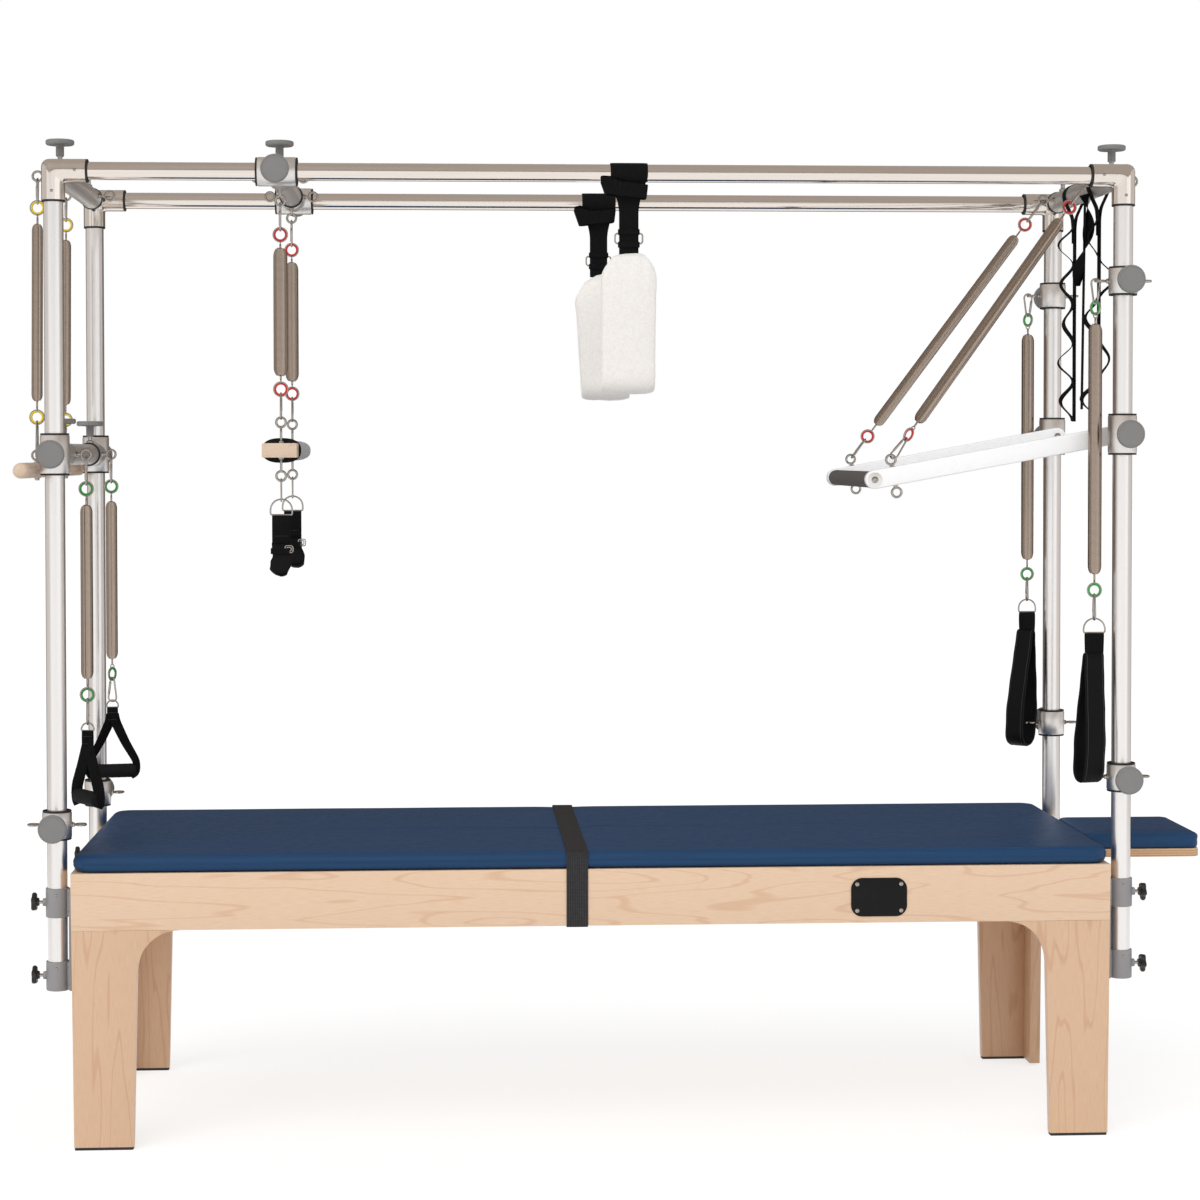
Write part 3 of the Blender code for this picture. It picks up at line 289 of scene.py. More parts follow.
@dataclass(frozen=True)
class Plywood(Finish):
    """Sanded birch plywood: thin light and dark layers on its edge, a dull flat face."""

    layer: str = "#A9784E"
    ply: float = 0.0026

    def look(self, tree: Tree, place: Socket) -> Look:
        """Add the layers, which lie level, and their fibres.

        Args:
            tree: The material's node tree.
            place: The point on the piece, in metres.

        Returns:
            What the shader takes.
        """
        wave = {"Vector": place, "Scale": WAVE_PERIOD / self.ply / 2, "Distortion": 0.3, "Detail Scale": 40.0}
        layers = add_node(tree, "TexWave", wave, bands_direction="Z").outputs[1]
        fibre = add_node(tree, "Mapping", {"Vector": place, "Scale": (30.0, 700.0, 700.0)})
        fibre = add_node(tree, "TexNoise", {"Vector": fibre, "Scale": 1.0, "Detail": 3.0})
        normal = add_node(tree, "NewGeometry").outputs["Normal"]
        level = add_node(tree, "SeparateXYZ", {0: normal}).outputs["Z"]
        steep = {"From Min": 0.2, "From Max": 0.6, "To Min": 0.75, "To Max": 0.12}
        steep["Value"] = add_node(tree, "Math", {0: level}, operation="ABSOLUTE")
        edge = add_node(tree, "MapRange", steep)
        share = add_node(tree, "Math", {0: layers, 1: edge}, operation="MULTIPLY")
        return Look(share, linear(self.layer), fibre, 0.3, 0.0002, self.roughness)


@dataclass(frozen=True)
class GrainedVinyl(Finish):
    """PVC upholstery vinyl with an embossed grain: deep even colour and a soft broad sheen."""

    grain: float = 0.0016
    creases: float = 0.22
    relief: float = 0.45
    shine: float = 0.4

    def look(self, tree: Tree, place: Socket) -> Look:
        """Add the embossed cells, faint creases along the mat and uneven handling wear.

        Args:
            tree: The material's node tree.
            place: The point on the piece, in metres.

        Returns:
            What the shader takes.
        """
        cells = add_node(tree, "TexVoronoi", {"Vector": place, "Scale": 1 / self.grain})
        drawn = add_node(tree, "Mapping", {"Vector": place, "Scale": (5.0, 170.0, 170.0)})
        drawn = add_node(tree, "TexNoise", {"Vector": drawn, "Scale": 1.0, "Detail": 4.0})
        worn = add_node(tree, "TexNoise", {"Vector": place, "Scale": 60.0, "Detail": 3.0})
        crease = {"Value": drawn, "From Min": 0.3, "From Max": 0.75, "To Max": self.creases}
        share = add_node(tree, "MapRange", crease)
        pale = [min(1.0, v * 2.4 + 0.004) for v in linear(self.colour)[:3]] + [1.0]
        gloss = {"To Min": self.roughness - 0.03, "To Max": self.roughness + 0.04}
        rough = add_node(tree, "MapRange", {"Value": worn, "From Min": 0.3, "From Max": 0.7, **gloss})
        height = add_node(tree, "Math", {0: cells, 1: drawn}, operation="ADD")
        extras = {"IOR": 1.52, "Specular IOR Level": self.shine}
        return Look(share, pale, height, self.relief, 0.00025, rough, extras=extras)


@dataclass(frozen=True)
class WovenWebbing(Finish):
    """Woven polyester webbing: cross ribs, two shades of yarn and a dry sheen.

    A real rib is 1.2 mm apart. It is drawn at 2.4 mm, because a finer one doesn't show.
    """

    rib: float = 0.0024
    thread: str = "#4A4A4C"
    shine: float = 0.08

    def look(self, tree: Tree, place: Socket) -> Look:
        """Add ribs across the strap and columns of yarn along it.

        Args:
            tree: The material's node tree.
            place: The point on the piece, which the strap's own run takes the place of.

        Returns:
            What the shader takes.
        """
        run = add_node(tree, "Attribute", attribute_name="run").outputs["Vector"]
        rib = {"Vector": run, "Scale": WAVE_PERIOD / self.rib, "Distortion": 0.6, "Detail": 1.0}
        ribs = add_node(tree, "TexWave", rib).outputs[1]
        column = {"Vector": run, "Scale": WAVE_PERIOD / (self.rib * 1.6)}
        columns = add_node(tree, "TexWave", column, bands_direction="Y").outputs[1]
        weave = add_node(tree, "Math", {0: ribs, 1: columns}, operation="MULTIPLY")
        dust = add_node(tree, "TexNoise", {"Vector": place, "Scale": 90.0, "Detail": 4.0})
        share = add_node(tree, "Math", {0: weave, 1: dust}, operation="MULTIPLY")
        extras = {"IOR": 1.55, "Specular IOR Level": self.shine}
        return Look(share, linear(self.thread), weave, 0.55, 0.0005, self.roughness, extras=extras)


@dataclass(frozen=True)
class DrawnMetal(Finish):
    """Bare or anodised metal: satin tube, polished tube, turned clamp or plated wire.

    The eye sees faint lines along the way it was drawn or turned, and slightly uneven gloss.
    """

    lines: Axis = Axis.Z
    pitch: float = 0.0016
    relief: float = 0.04
    uneven: float = 0.02
    dull: str = "#B9B3AD"
    share: float = 0.3

    def look(self, tree: Tree, place: Socket) -> Look:
        """Add the drawn lines and uneven gloss.

        Args:
            tree: The material's node tree.
            place: The point on the piece, in metres.

        Returns:
            What the shader takes.
        """
        scale = [1 / self.pitch] * 3
        scale[list(Axis).index(self.lines)] = 4.0
        lines = add_node(tree, "Mapping", {"Vector": place, "Scale": scale})
        lines = add_node(tree, "TexNoise", {"Vector": lines, "Scale": 1.0, "Detail": 2.0})
        gloss = {"To Min": self.roughness - self.uneven, "To Max": self.roughness + self.uneven}
        rough = add_node(tree, "MapRange", {"Value": lines, "From Min": 0.3, "From Max": 0.7, **gloss})
        dull = {"Value": lines, "From Min": 0.35, "From Max": 0.75, "To Max": self.share}
        share = add_node(tree, "MapRange", dull)
        return Look(share, linear(self.dull), lines, self.relief, 0.0001, rough, extras={"Metallic": 1.0})


@dataclass(frozen=True)
class Moulded(Finish):
    """Moulded plastic or rubber, or baked powder paint: a fine pebbled skin, slightly uneven gloss."""

    grit: float = 0.0012
    relief: float = 0.2
    shine: float = 0.5
    scuff: float = 0.12

    def look(self, tree: Tree, place: Socket) -> Look:
        """Add the pebbled skin and light scuffs.

        Args:
            tree: The material's node tree.
            place: The point on the piece, in metres.

        Returns:
            What the shader takes.
        """
        skin = add_node(tree, "TexNoise", {"Vector": place, "Scale": 1 / self.grit, "Detail": 2.0})
        slow = add_node(tree, "TexNoise", {"Vector": place, "Scale": 35.0, "Detail": 4.0})
        worn = {"Value": slow, "From Min": 0.35, "From Max": 0.75, "To Max": self.scuff}
        share = add_node(tree, "MapRange", worn)
        pale = [min(1.0, v * 1.35 + 0.02) for v in linear(self.colour)[:3]] + [1.0]
        gloss = {"To Min": self.roughness - 0.05, "To Max": self.roughness + 0.07}
        rough = add_node(tree, "MapRange", {"Value": slow, "From Min": 0.3, "From Max": 0.7, **gloss})
        return Look(share, pale, skin, self.relief, 0.0002, rough, extras={"Specular IOR Level": self.shine})


@dataclass(frozen=True)
class Fleece(Finish):
    """Boiled wool fleece over foam: off-white curls with soft shade between them."""

    curl: float = 0.0050
    hollow: str = "#E6E0D9"

    def look(self, tree: Tree, place: Socket) -> Look:
        """Add the curls and the wool's sheen.

        Args:
            tree: The material's node tree.
            place: The point on the piece, in metres.

        Returns:
            What the shader takes.
        """
        wool = {"Vector": place, "Scale": 1 / self.curl, "Detail": 5.0, "Roughness": 0.65, "Distortion": 0.8}
        curls = add_node(tree, "TexNoise", wool)
        shade = {"Value": curls, "From Min": 0.62, "From Max": 0.34, "To Max": 0.75}
        share = add_node(tree, "MapRange", shade)
        extras = {"Sheen Weight": 0.4, "Sheen Roughness": 0.6}
        return Look(share, linear(self.hollow), curls, 0.4, 0.0012, self.roughness, extras=extras)


MAPLE_LONG = LacqueredWood("maple_planed_lacquered_long", "#E6C8AA", 0.42, band="#CF9E7A", grain=Axis.X)
# The legs' maple has its grain running upright. Its colour and bands are darker than the long boards' maple:
# painted shade for the shade under the table.
MAPLE_UPRIGHT_PAINTED_SHADE = LacqueredWood("maple_planed_lacquered_upright", "#DAB797", 0.42, band="#C08E69", grain=Axis.Z)
MAPLE_ACROSS = LacqueredWood("maple_planed_lacquered_across", "#D9B796", 0.42, band="#BF9370", grain=Axis.Y)
BEECH = LacqueredWood(
    "beech_turned_lacquered", "#DCC2AA", 0.4, "#C9A88B", Axis.Y, figure_across=0.012, turns=12.0
)
PLY = Plywood("birch_plywood_sanded", "#D9B68F", 0.6)
VINYL = GrainedVinyl("navy_vinyl_embossed", "#163C61", 0.42, creases=0.14, shine=0.22)
CUFF_VINYL = GrainedVinyl("black_vinyl_padded", "#0A0A0B", 0.5, grain=0.0013, creases=0.05, shine=0.12)
WEBBING = WovenWebbing("black_polyester_webbing_woven", "#0A0A0B", 0.75, thread="#242426")
BELT_WEBBING = WovenWebbing("charcoal_polyester_webbing_woven", "#1C1C1D", 0.6, 0.0030, "#504E52", shine=0.3)
ALUMINIUM = DrawnMetal(
    "aluminium_drawn_satin_anodised", "#EFECEA", 0.29, share=0.06, relief=0.01, uneven=0.01
)
ALUMINIUM_BAR = DrawnMetal("aluminium_bar_satin_anodised", "#F2F0EE", 0.42, lines=Axis.Y)
STAINLESS = DrawnMetal("stainless_tube_polished", "#EAE2DA", 0.10, lines=Axis.X, dull="#C9BFB5")
ELBOW = DrawnMetal("stainless_elbow_polished", "#E8E0D8", 0.13, dull="#C9BFB5")
TURNED = DrawnMetal("aluminium_turned_anodised", "#EAE7E4", 0.40, lines=Axis.Y)
CHROME = DrawnMetal("steel_wire_nickel_plated", "#B3ADA7", 0.16, dull="#8B857F")
SPRING_WIRE = DrawnMetal("spring_steel_wire_oiled", "#AD9D8F", 0.17, dull="#9C8C7F", relief=0.0, share=0.2)
KNOB_GREY = Moulded("nylon_knob_moulded", "#7F7E7C", 0.45)
RUBBER = Moulded("rubber_ring_moulded", "#161617", 0.55)
STAR_BLACK = Moulded("phenolic_knob_moulded", "#151516", 0.3)
POWDER_GREY = Moulded("steel_powder_coated_grey", "#8F8D8E", 0.45, grit=0.0015)
POWDER_BLACK = Moulded("steel_powder_coated_black", "#121213", 0.45, grit=0.0015, shine=0.15)
POWDER_WHITE = Moulded("aluminium_powder_coated_white", "#FBFBFB", 0.3, grit=0.002, relief=0.05, scuff=0.02)
FOAM = Moulded("foam_grip_extruded", "#554F4D", 0.8, grit=0.0018, relief=0.4)
FOAM_GREY = Moulded("foam_sleeve_extruded_grey", "#A9A7A8", 0.75, grit=0.0024, relief=0.4)
FOAM_BLACK = Moulded("foam_grip_extruded_black", "#131314", 0.82, grit=0.0018, relief=0.5, shine=0.2)
RING_YELLOW = Moulded("nylon_ring_yellow", "#EBC814", 0.35)
RING_RED = Moulded("nylon_ring_red", "#CC1F22", 0.35)
RING_GREEN = Moulded("nylon_ring_green", "#2D9640", 0.35)
WOOL = Fleece("wool_fleece_boiled", "#F3F0EB", 0.9)
THREAD = Moulded("bonded_nylon_thread", "#6A686C", 0.6)
THREAD_DARK = Moulded("bonded_nylon_thread_black", "#2A2A2C", 0.6)


def each(value: object, count: int) -> list:
    """Return one value for each of a count, from a list of them or from one value for all."""
    return list(value) if isinstance(value, (list, tuple)) else [value] * count


def circle(centre: Vector, first: Vector, second: Vector, sizes: Sequence[float]) -> list[Vector]:
    """Return the points of a ring.

    Args:
        centre: The ring's centre.
        first: The direction of its first point.
        second: The direction a quarter of a turn on.
        sizes: Each point's distance from the centre.

    Returns:
        The points.
    """
    turns = [2 * math.pi * k / len(sizes) for k in range(len(sizes))]
    return [centre + (first * math.cos(a) + second * math.sin(a)) * size for a, size in zip(turns, sizes)]


def headings(path: Path, closed: bool = False) -> list[Vector]:
    """Return the way a path runs at each of its points.

    Args:
        path: The points.
        closed: Whether the path closes on itself.

    Returns:
        A unit vector for each point.
    """
    last = len(path) - 1
    result = []
    for i in range(last + 1):
        before = path[i - 1] if i or closed else path[0]
        after = path[(i + 1) % (last + 1)] if i < last or closed else path[last]
        result.append((after - before).normalized())
    return result


def mirrored(half: Pairs, length: float = 0.0) -> Pairs:
    """Return a turned profile from its first half, which is mirrored about the middle of its length."""
    return half + [(radius, length - offset) for radius, offset in reversed(half)]


def ribbed(lip: Pairs, length: float, steps: int, inset: float = 0.0, deep: float = 0.0003) -> Pairs:
    """Return the profile of a grip or dowel with the same lip at both ends.

    Args:
        lip: Pairs of radius and distance, up to the full radius.
        length: The whole length.
        steps: The number of steps between the lips.
        inset: Where the steps start.
        deep: How deep every second step is cut in.

    Returns:
        The profile.
    """
    radius = lip[-1][0]
    ribs = [(radius - deep * (k % 2), inset + (length - 2 * inset) * k / steps) for k in range(1, steps)]
    return lip + ribs + [(r, length - d) for r, d in reversed(lip)]


class Shape:
    """The closed shells of one piece, with a finish for every face and a run for every point."""

    def __init__(self) -> None:
        """Start with no shells."""
        self.verts: list[Vector] = []
        self.faces: list[list[int]] = []
        self.finishes: list[Finish] = []
        self.face_finish: list[int] = []
        self.runs: list[Point] = []

    def skin(self, rings: Sequence[Path], finish: Finish, closed: bool = False, runs: Sequence = ()) -> None:
        """Add a shell through rings that have the same number of points.

        Args:
            rings: The rings, each a closed row of points.
            finish: The shell's finish.
            closed: Whether the last ring meets the first. Otherwise both ends are capped.
            runs: The points' place along and across a strap, for its weave.
        """
        if finish not in self.finishes:
            self.finishes.append(finish)
        start, size, count = len(self.verts), len(rings[0]), len(rings)
        for number, points in enumerate(rings):
            self.verts.extend(points)
            self.runs.extend(runs[number] if runs else [tuple(p) for p in points])
        new: list[list[int]] = []
        for i in range(count if closed else count - 1):
            low, high = start + i * size, start + (i + 1) % count * size
            for j in range(size):
                k = (j + 1) % size
                new.append([low + j, low + k, high + k, high + j])
        if not closed:
            new.append([start + j for j in range(size)][::-1])
            new.append([start + (count - 1) * size + j for j in range(size)])
        self.faces.extend(new)
        self.face_finish.extend([self.finishes.index(finish)] * len(new))

    def lathe(
        self, profile: Pairs, axis: Vector, place: Vector, finish: Finish, sides: int = 32,
        closed: bool = False, knurl: Optional[Callable[[int, int], float]] = None,
    ) -> None:
        """Add a turned shell.

        Args:
            profile: Pairs of radius and distance along the axis.
            axis: The axis.
            place: The point where the distance is nought.
            finish: The shell's finish.
            sides: The number of facets.
            closed: Whether the profile closes on itself, as a pipe's does.
            knurl: Gives each point's share of the radius from its ring and its facet.
        """
        along = Vector(axis).normalized()
        first = along.orthogonal().normalized()
        rings = []
        for number, (radius, offset) in enumerate(profile):
            sizes = [radius * (knurl(number, k) if knurl else 1.0) for k in range(sides)]
            rings.append(circle(place + along * offset, first, along.cross(first), sizes))
        self.skin(rings, finish, closed)

    def rod(
        self, start: Vector, end: Vector, radius: float, finish: Finish, sides: int = 24, edge: float = 0.0008
    ) -> None:
        """Add a solid round bar with softened ends.

        Args:
            start: The middle of one end.
            end: The middle of the other.
            radius: The bar's radius.
            finish: The bar's finish.
            sides: The number of facets.
            edge: The size of the softened edge.
        """
        length = (end - start).length
        edge = min(edge, radius * 0.6, length * 0.3)
        half = [(radius * 0.3, 0.0), (radius - edge, 0.0), (radius - edge * 0.3, edge * 0.3), (radius, edge)]
        self.lathe(mirrored(half, length), end - start, start, finish, sides)

    def pipe(
        self, start: Vector, end: Vector, radius: float, wall: float, finish: Finish, sides: int = 40
    ) -> None:
        """Add a round tube with a wall and softened lips.

        Args:
            start: The middle of one end.
            end: The middle of the other.
            radius: The outer radius.
            wall: The wall's thickness.
            finish: The tube's finish.
            sides: The number of facets.
        """
        lip, inner = wall * 0.3, radius - wall
        half = [(inner, lip), (inner + lip, 0.0), (radius - lip, 0.0), (radius, lip)]
        self.lathe(mirrored(half, (end - start).length), end - start, start, finish, sides, closed=True)

    def hoop(
        self, centre: Vector, axis: Vector, radius: float, wire: float, finish: Finish, sides: int = 28
    ) -> None:
        """Add a round ring of wire.

        Args:
            centre: The ring's centre.
            axis: The ring's axis.
            radius: The radius to the middle of the wire.
            wire: The wire's radius.
            finish: The ring's finish.
            sides: The number of steps round the ring.
        """
        turns = [2 * math.pi * k / 10 for k in range(10)]
        profile = [(radius + wire * math.cos(a), wire * math.sin(a)) for a in turns]
        self.lathe(profile, axis, centre, finish, sides, closed=True)

    def tube(
        self, path: Path, radius: float | Sequence[float], finish: Finish, sides: int = 12,
        closed: bool = False,
    ) -> None:
        """Add a round section swept along a path.

        Args:
            path: The points of the centreline.
            radius: One radius, or one for each point.
            finish: The tube's finish.
            sides: The number of facets.
            closed: Whether the path closes on itself.
        """
        rings = []
        side: Optional[Vector] = None
        for point, size, run in zip(path, each(radius, len(path)), headings(path, closed)):
            side = run.orthogonal().normalized() if side is None else side
            side = (side - run * side.dot(run)).normalized()
            rings.append(circle(point, side, run.cross(side), [size] * sides))
        self.skin(rings, finish, closed)

    def strap(
        self, path: Path, across: Vector | Path, width: float | Sequence[float],
        thick: float | Sequence[float], finish: Finish, closed: bool = False, section: int = 10,
        fullness: float = 5.0,
    ) -> None:
        """Add a flat or padded band along a path.

        Args:
            path: The points of the centreline.
            across: The direction of the band's width, once or for each point.
            width: The band's width, once or for each point.
            thick: The band's thickness, once or for each point.
            finish: The band's finish.
            closed: Whether the path closes on itself.
            section: Half the number of points round the section.
            fullness: How square the section is: 2 is an oval, and 8 nearly a rectangle.
        """
        count = len(path)
        widths, thicks, sides = each(width, count), each(thick, count), each(across, count)
        turns = [2 * math.pi * (k + 0.5) / (2 * section) for k in range(2 * section)]
        rings, runs = [], []
        travelled = 0.0
        for i, (point, run) in enumerate(zip(path, headings(path, closed))):
            side = (sides[i] - run * sides[i].dot(run)).normalized()
            face = run.cross(side)
            travelled += (point - path[i - 1]).length if i else 0.0
            points, places = [], []
            for angle in turns:
                wide = math.copysign(abs(math.cos(angle)) ** (2 / fullness), math.cos(angle))
                deep = math.copysign(abs(math.sin(angle)) ** (2 / fullness), math.sin(angle))
                points.append(point + side * wide * widths[i] / 2 + face * deep * thicks[i] / 2)
                places.append((travelled, wide * widths[i] / 2, 0.0))
            rings.append(points)
            runs.append(places)
        self.skin(rings, finish, closed, runs)

    def slab(self, outline: Pairs, axis: Axis, low: float, high: float, finish: Finish) -> None:
        """Add a flat board cut to an outline.

        Args:
            outline: Pairs of the other two coordinates, in the order X, Y, Z.
            axis: The direction of the board's thickness.
            low: One face's coordinate along the axis.
            high: The other face's.
            finish: The board's finish.
        """
        index = list(Axis).index(axis)
        rings = [[Vector((*pair[:index], level, *pair[index:])) for pair in outline] for level in (low, high)]
        self.skin(rings, finish)

    def nut(self, centre: Vector, axis: Vector, across: float, thick: float, finish: Finish) -> None:
        """Add a hexagon nut with chamfered corners.

        Args:
            centre: The nut's centre.
            axis: The nut's axis.
            across: Its width across flats.
            thick: Its thickness.
            finish: Its finish.
        """
        size = across / 2 / math.cos(math.pi / 6)
        edge = size * 0.12
        half = [(size - edge, -thick / 2), (size, edge - thick / 2)]
        self.lathe(mirrored(half), axis, centre, finish, 6)

    def screw(self, place: Vector, axis: Vector, radius: float, finish: Finish) -> None:
        """Add a domed screw head with a hexagon socket.

        Args:
            place: The point on the surface.
            axis: The way that the surface faces.
            radius: The head's radius.
            finish: The screw's finish.
        """
        shares = ((1.0, 0.18), (0.85, 0.42), (0.48, 0.55), (0.40, 0.20), (0.05, 0.18))
        profile = [(radius * 0.45, -0.0006), (radius, -0.0006)]
        profile += [(radius * a, radius * b) for a, b in shares]
        self.lathe(profile, axis, place, finish, 18)

    def pad(self, centre: Vector, axis: Vector) -> None:
        """Add the flat boss that a clamp's side knob is screwed into."""
        profile = [(0.004, 0.024), (0.0165, 0.024), (0.0165, 0.0315), (0.0150, 0.0330), (0.004, 0.0330)]
        self.lathe(profile, axis, centre, TURNED, 32)


def rounded(a: float, b: float, corner: float, centre: Point = (0.0, 0.0), steps: int = 6) -> Pairs:
    """Return a rectangle's outline with round corners.

    Args:
        a: Half its first side.
        b: Half its second side.
        corner: The corners' radius.
        centre: Its centre.
        steps: The number of steps round each corner.

    Returns:
        The outline's points, anticlockwise.
    """
    points = []
    for turn, (sign_a, sign_b) in enumerate(((1, 1), (-1, 1), (-1, -1), (1, -1))):
        middle = (centre[0] + sign_a * (a - corner), centre[1] + sign_b * (b - corner))
        points += arc(middle, corner, 90 * turn, 90 * turn + 90, steps)
    return points


def arc(centre: Point, radius: float, start: float, end: float, steps: int) -> Pairs:
    """Return points along an arc between two angles in degrees."""
    angles = [math.radians(start + (end - start) * k / steps) for k in range(steps + 1)]
    return [(centre[0] + radius * math.cos(a), centre[1] + radius * math.sin(a)) for a in angles]


def even(path: Path, step: float, closed: bool = False) -> list[Vector]:
    """Return a path's points again, at an even step.

    Args:
        path: The points to follow.
        step: About how far apart the new points are.
        closed: Whether the path closes on itself.

    Returns:
        The new points. A closed path's first point isn't repeated at its end.
    """
    points = [Vector(p) for p in path] + ([Vector(path[0])] if closed else [])
    lengths = [0.0]
    for a, b in zip(points, points[1:]):
        lengths.append(lengths[-1] + (b - a).length)
    count = max(4, round(lengths[-1] / step))
    result = []
    where = 0
    for k in range(count + (0 if closed else 1)):
        target = lengths[-1] * k / count
        while where < len(lengths) - 2 and lengths[where + 1] < target:
            where += 1
        span = max(lengths[where + 1] - lengths[where], 1e-9)
        result.append(points[where].lerp(points[where + 1], min(1.0, (target - lengths[where]) / span)))
    return result


def soften(path: Path, passes: int, closed: bool = False) -> list[Vector]:
    """Round a path's corners by averaging neighbours. Its open ends stay.

    Args:
        path: The points.
        passes: How often the points are averaged.
        closed: Whether the path closes on itself.

    Returns:
        As many points.
    """
    points = [Vector(p) for p in path]
    count = len(points)
    for _ in range(passes):
        fresh = [p * 0.5 + (points[i - 1] + points[(i + 1) % count]) * 0.25 for i, p in enumerate(points)]
        if not closed:
            fresh[0], fresh[-1] = points[0], points[-1]
        points = fresh
    return points


def d_ring(
    shape: Shape, at: Callable[[float, float], Vector], top: float, half: float, height: float
) -> None:
    """Add a D ring of wire with its flat bar at the bottom.

    Args:
        shape: The shape that takes it.
        at: Turns a place across the ring and a height into a point.
        top: The height of the wire's middle at its top.
        half: Half the ring's width to the wire's middle.
        height: The ring's height to the wire's middle.
    """
    path = arc((0.0, top - half), half, 0, 180, 14) + [(-half, top - height), (half, top - height)]
    line = even([at(a, z) for a, z in path], 0.003, True)
    shape.tube(soften(line, 1, True), 0.0019, CHROME, 10, closed=True)


def fold(x: float, y: float, half: Pairs, step: float) -> list[Vector]:
    """Return the path of webbing that is folded over a bar and hangs down on both sides.

    Args:
        x: The bar's middle along the table.
        y: The bar's middle across the table.
        half: Pairs of distance from the middle and height, from an end up to the fold.
        step: About how far apart the path's points are.

    Returns:
        The path.
    """
    pairs = half + [(-b, z) for b, z in half[-2::-1]]
    return soften(even([spot(x, y + b, z) for b, z in pairs], step), 2)


@dataclass
class Build:
    """What turns a shape into a piece: its name and the body it rides on. Its slot is not used."""

    name: str
    body: str
    slot: str
    replaces: tuple[str, ...] = ()
    bevel: float = 0.0
    bevel_steps: int = 2
    sharp: float = 40.0
    span: Optional[tuple[str, str, Vector, Vector]] = None

    def make(self, shape: Shape, shift: Optional[Callable[[Vector], Vector]] = None) -> bpy.types.Object:
        """Make the piece, round its edges and hang it on its body. A piece that spans two bodies is hung on
        neither.

        Args:
            shape: The piece's shells.
            shift: Moves each point once the mesh is final.

        Returns:
            The piece.
        """
        mesh = bpy.data.meshes.new(self.name)
        mesh.from_pydata([tuple(v) for v in shape.verts], [], shape.faces)
        for finish in shape.finishes:
            mesh.materials.append(finish.material())
        for face, mark in zip(mesh.polygons, shape.face_finish):
            face.material_index = mark
        layer = mesh.attributes.new("run", "FLOAT_VECTOR", "POINT")
        layer.data.foreach_set("vector", [c for run in shape.runs for c in run])
        cleaner = bmesh.new()
        cleaner.from_mesh(mesh)
        bmesh.ops.recalc_face_normals(cleaner, faces=cleaner.faces)
        cleaner.to_mesh(mesh)
        cleaner.free()
        piece = bpy.data.objects.new(self.name, mesh)
        bpy.context.scene.collection.objects.link(piece)
        if self.bevel:
            edge = piece.modifiers.new("edge", "BEVEL")
            edge.width = self.bevel
            edge.segments = self.bevel_steps
            edge.limit_method = "ANGLE"
            edge.angle_limit = math.radians(28)
            bpy.context.view_layer.update()
            graph = bpy.context.evaluated_depsgraph_get()
            piece.data = bpy.data.meshes.new_from_object(piece.evaluated_get(graph))
            piece.modifiers.clear()
            bpy.data.meshes.remove(mesh)
        if shift is not None:
            for vertex in piece.data.vertices:
                vertex.co = shift(vertex.co)
        piece.data.polygons.foreach_set("use_smooth", [True] * len(piece.data.polygons))
        piece.data.set_sharp_from_angle(angle=math.radians(self.sharp))
        if self.span is None:
            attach(piece, self.body)
        else:
            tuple(self.span[2])
            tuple(self.span[3])
            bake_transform(piece)
        if self.replaces:
            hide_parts(*self.replaces)
        LOG.info("%s: %d faces on %s", self.name, len(piece.data.polygons), self.body)
        return piece


@dataclass
class Cushion:
    """A foam pad in a vinyl cover: crowned top, rolled edges and sides that pull in slightly."""

    centre: tuple[float, float]
    half_x: float
    half_y: float
    low: float
    thick: float
    corner: float
    roll: float
    crown: float
    step: float = 0.02
    ripple: float = 0.0004

    def outline(self, inset: float) -> list[Vector]:
        """Return the pad's outline, always with as many points.

        Args:
            inset: How far it is moved in from the pad's edge.

        Returns:
            The points, at height nought.
        """
        a, b = self.half_x - inset, self.half_y - inset
        corner = min(max(self.corner - inset, 0.0015), a * 0.98, b * 0.98)
        flat_a, flat_b = a - corner, b - corner
        count_a, count_b = (max(2, round(2 * half / self.step)) for half in (self.half_x, self.half_y))
        pairs: Pairs = []
        for middle, start, ahead, count in (
            ((flat_a, flat_b), 0, (-flat_a, b), count_a),
            ((-flat_a, flat_b), 90, (-a, -flat_b), count_b),
            ((-flat_a, -flat_b), 180, (flat_a, -b), count_a),
            ((flat_a, -flat_b), 270, (a, flat_b), count_b),
        ):
            pairs += arc(middle, corner, start, start + 90, 6)
            x, y = pairs[-1]
            for share in (k / count for k in range(1, count)):
                pairs.append((x + (ahead[0] - x) * share, y + (ahead[1] - y) * share))
        return [Vector((x, y, 0.0)) for x, y in pairs]

    def shape(self, finish: Finish) -> Shape:
        """Return the pad's closed shell.

        Args:
            finish: The cover's finish.

        Returns:
            The shape.
        """
        deep, roll = min(self.half_x, self.half_y), self.roll
        top = self.thick - self.crown
        levels = [(deep * 0.94, 0.0), (deep * 0.5, 0.0), (roll * 0.8, 0.0), (roll * 0.22, roll * 0.25)]
        levels += [(0.0004, roll * 0.8), (0.0012, top * 0.5), (0.0, top - roll * 0.95)]
        for angle in (math.radians(18 * k) for k in range(1, 6)):
            levels.append((roll * (1 - math.cos(angle)), top - roll * (1 - math.sin(angle))))
        rings = max(4, round(deep / self.step))
        for inset in (roll + (deep * 0.96 - roll) * k / rings for k in range(1, rings + 1)):
            levels.append((inset, top + self.crown * (1 - (1 - min(1.0, inset / (deep * 0.55))) ** 2)))
        result = []
        for inset, height in levels:
            ring = []
            for p in self.outline(inset):
                wave = noise.noise(Vector((p.x * 5, p.y * 7, 0.3 + height * 3))) * self.ripple
                lift = wave if height > top - roll * 0.4 else 0.0
                ring.append(Vector((p.x + self.centre[0], p.y + self.centre[1], self.low + height + lift)))
            result.append(ring)
        shape = Shape()
        shape.skin(result, finish)
        return shape


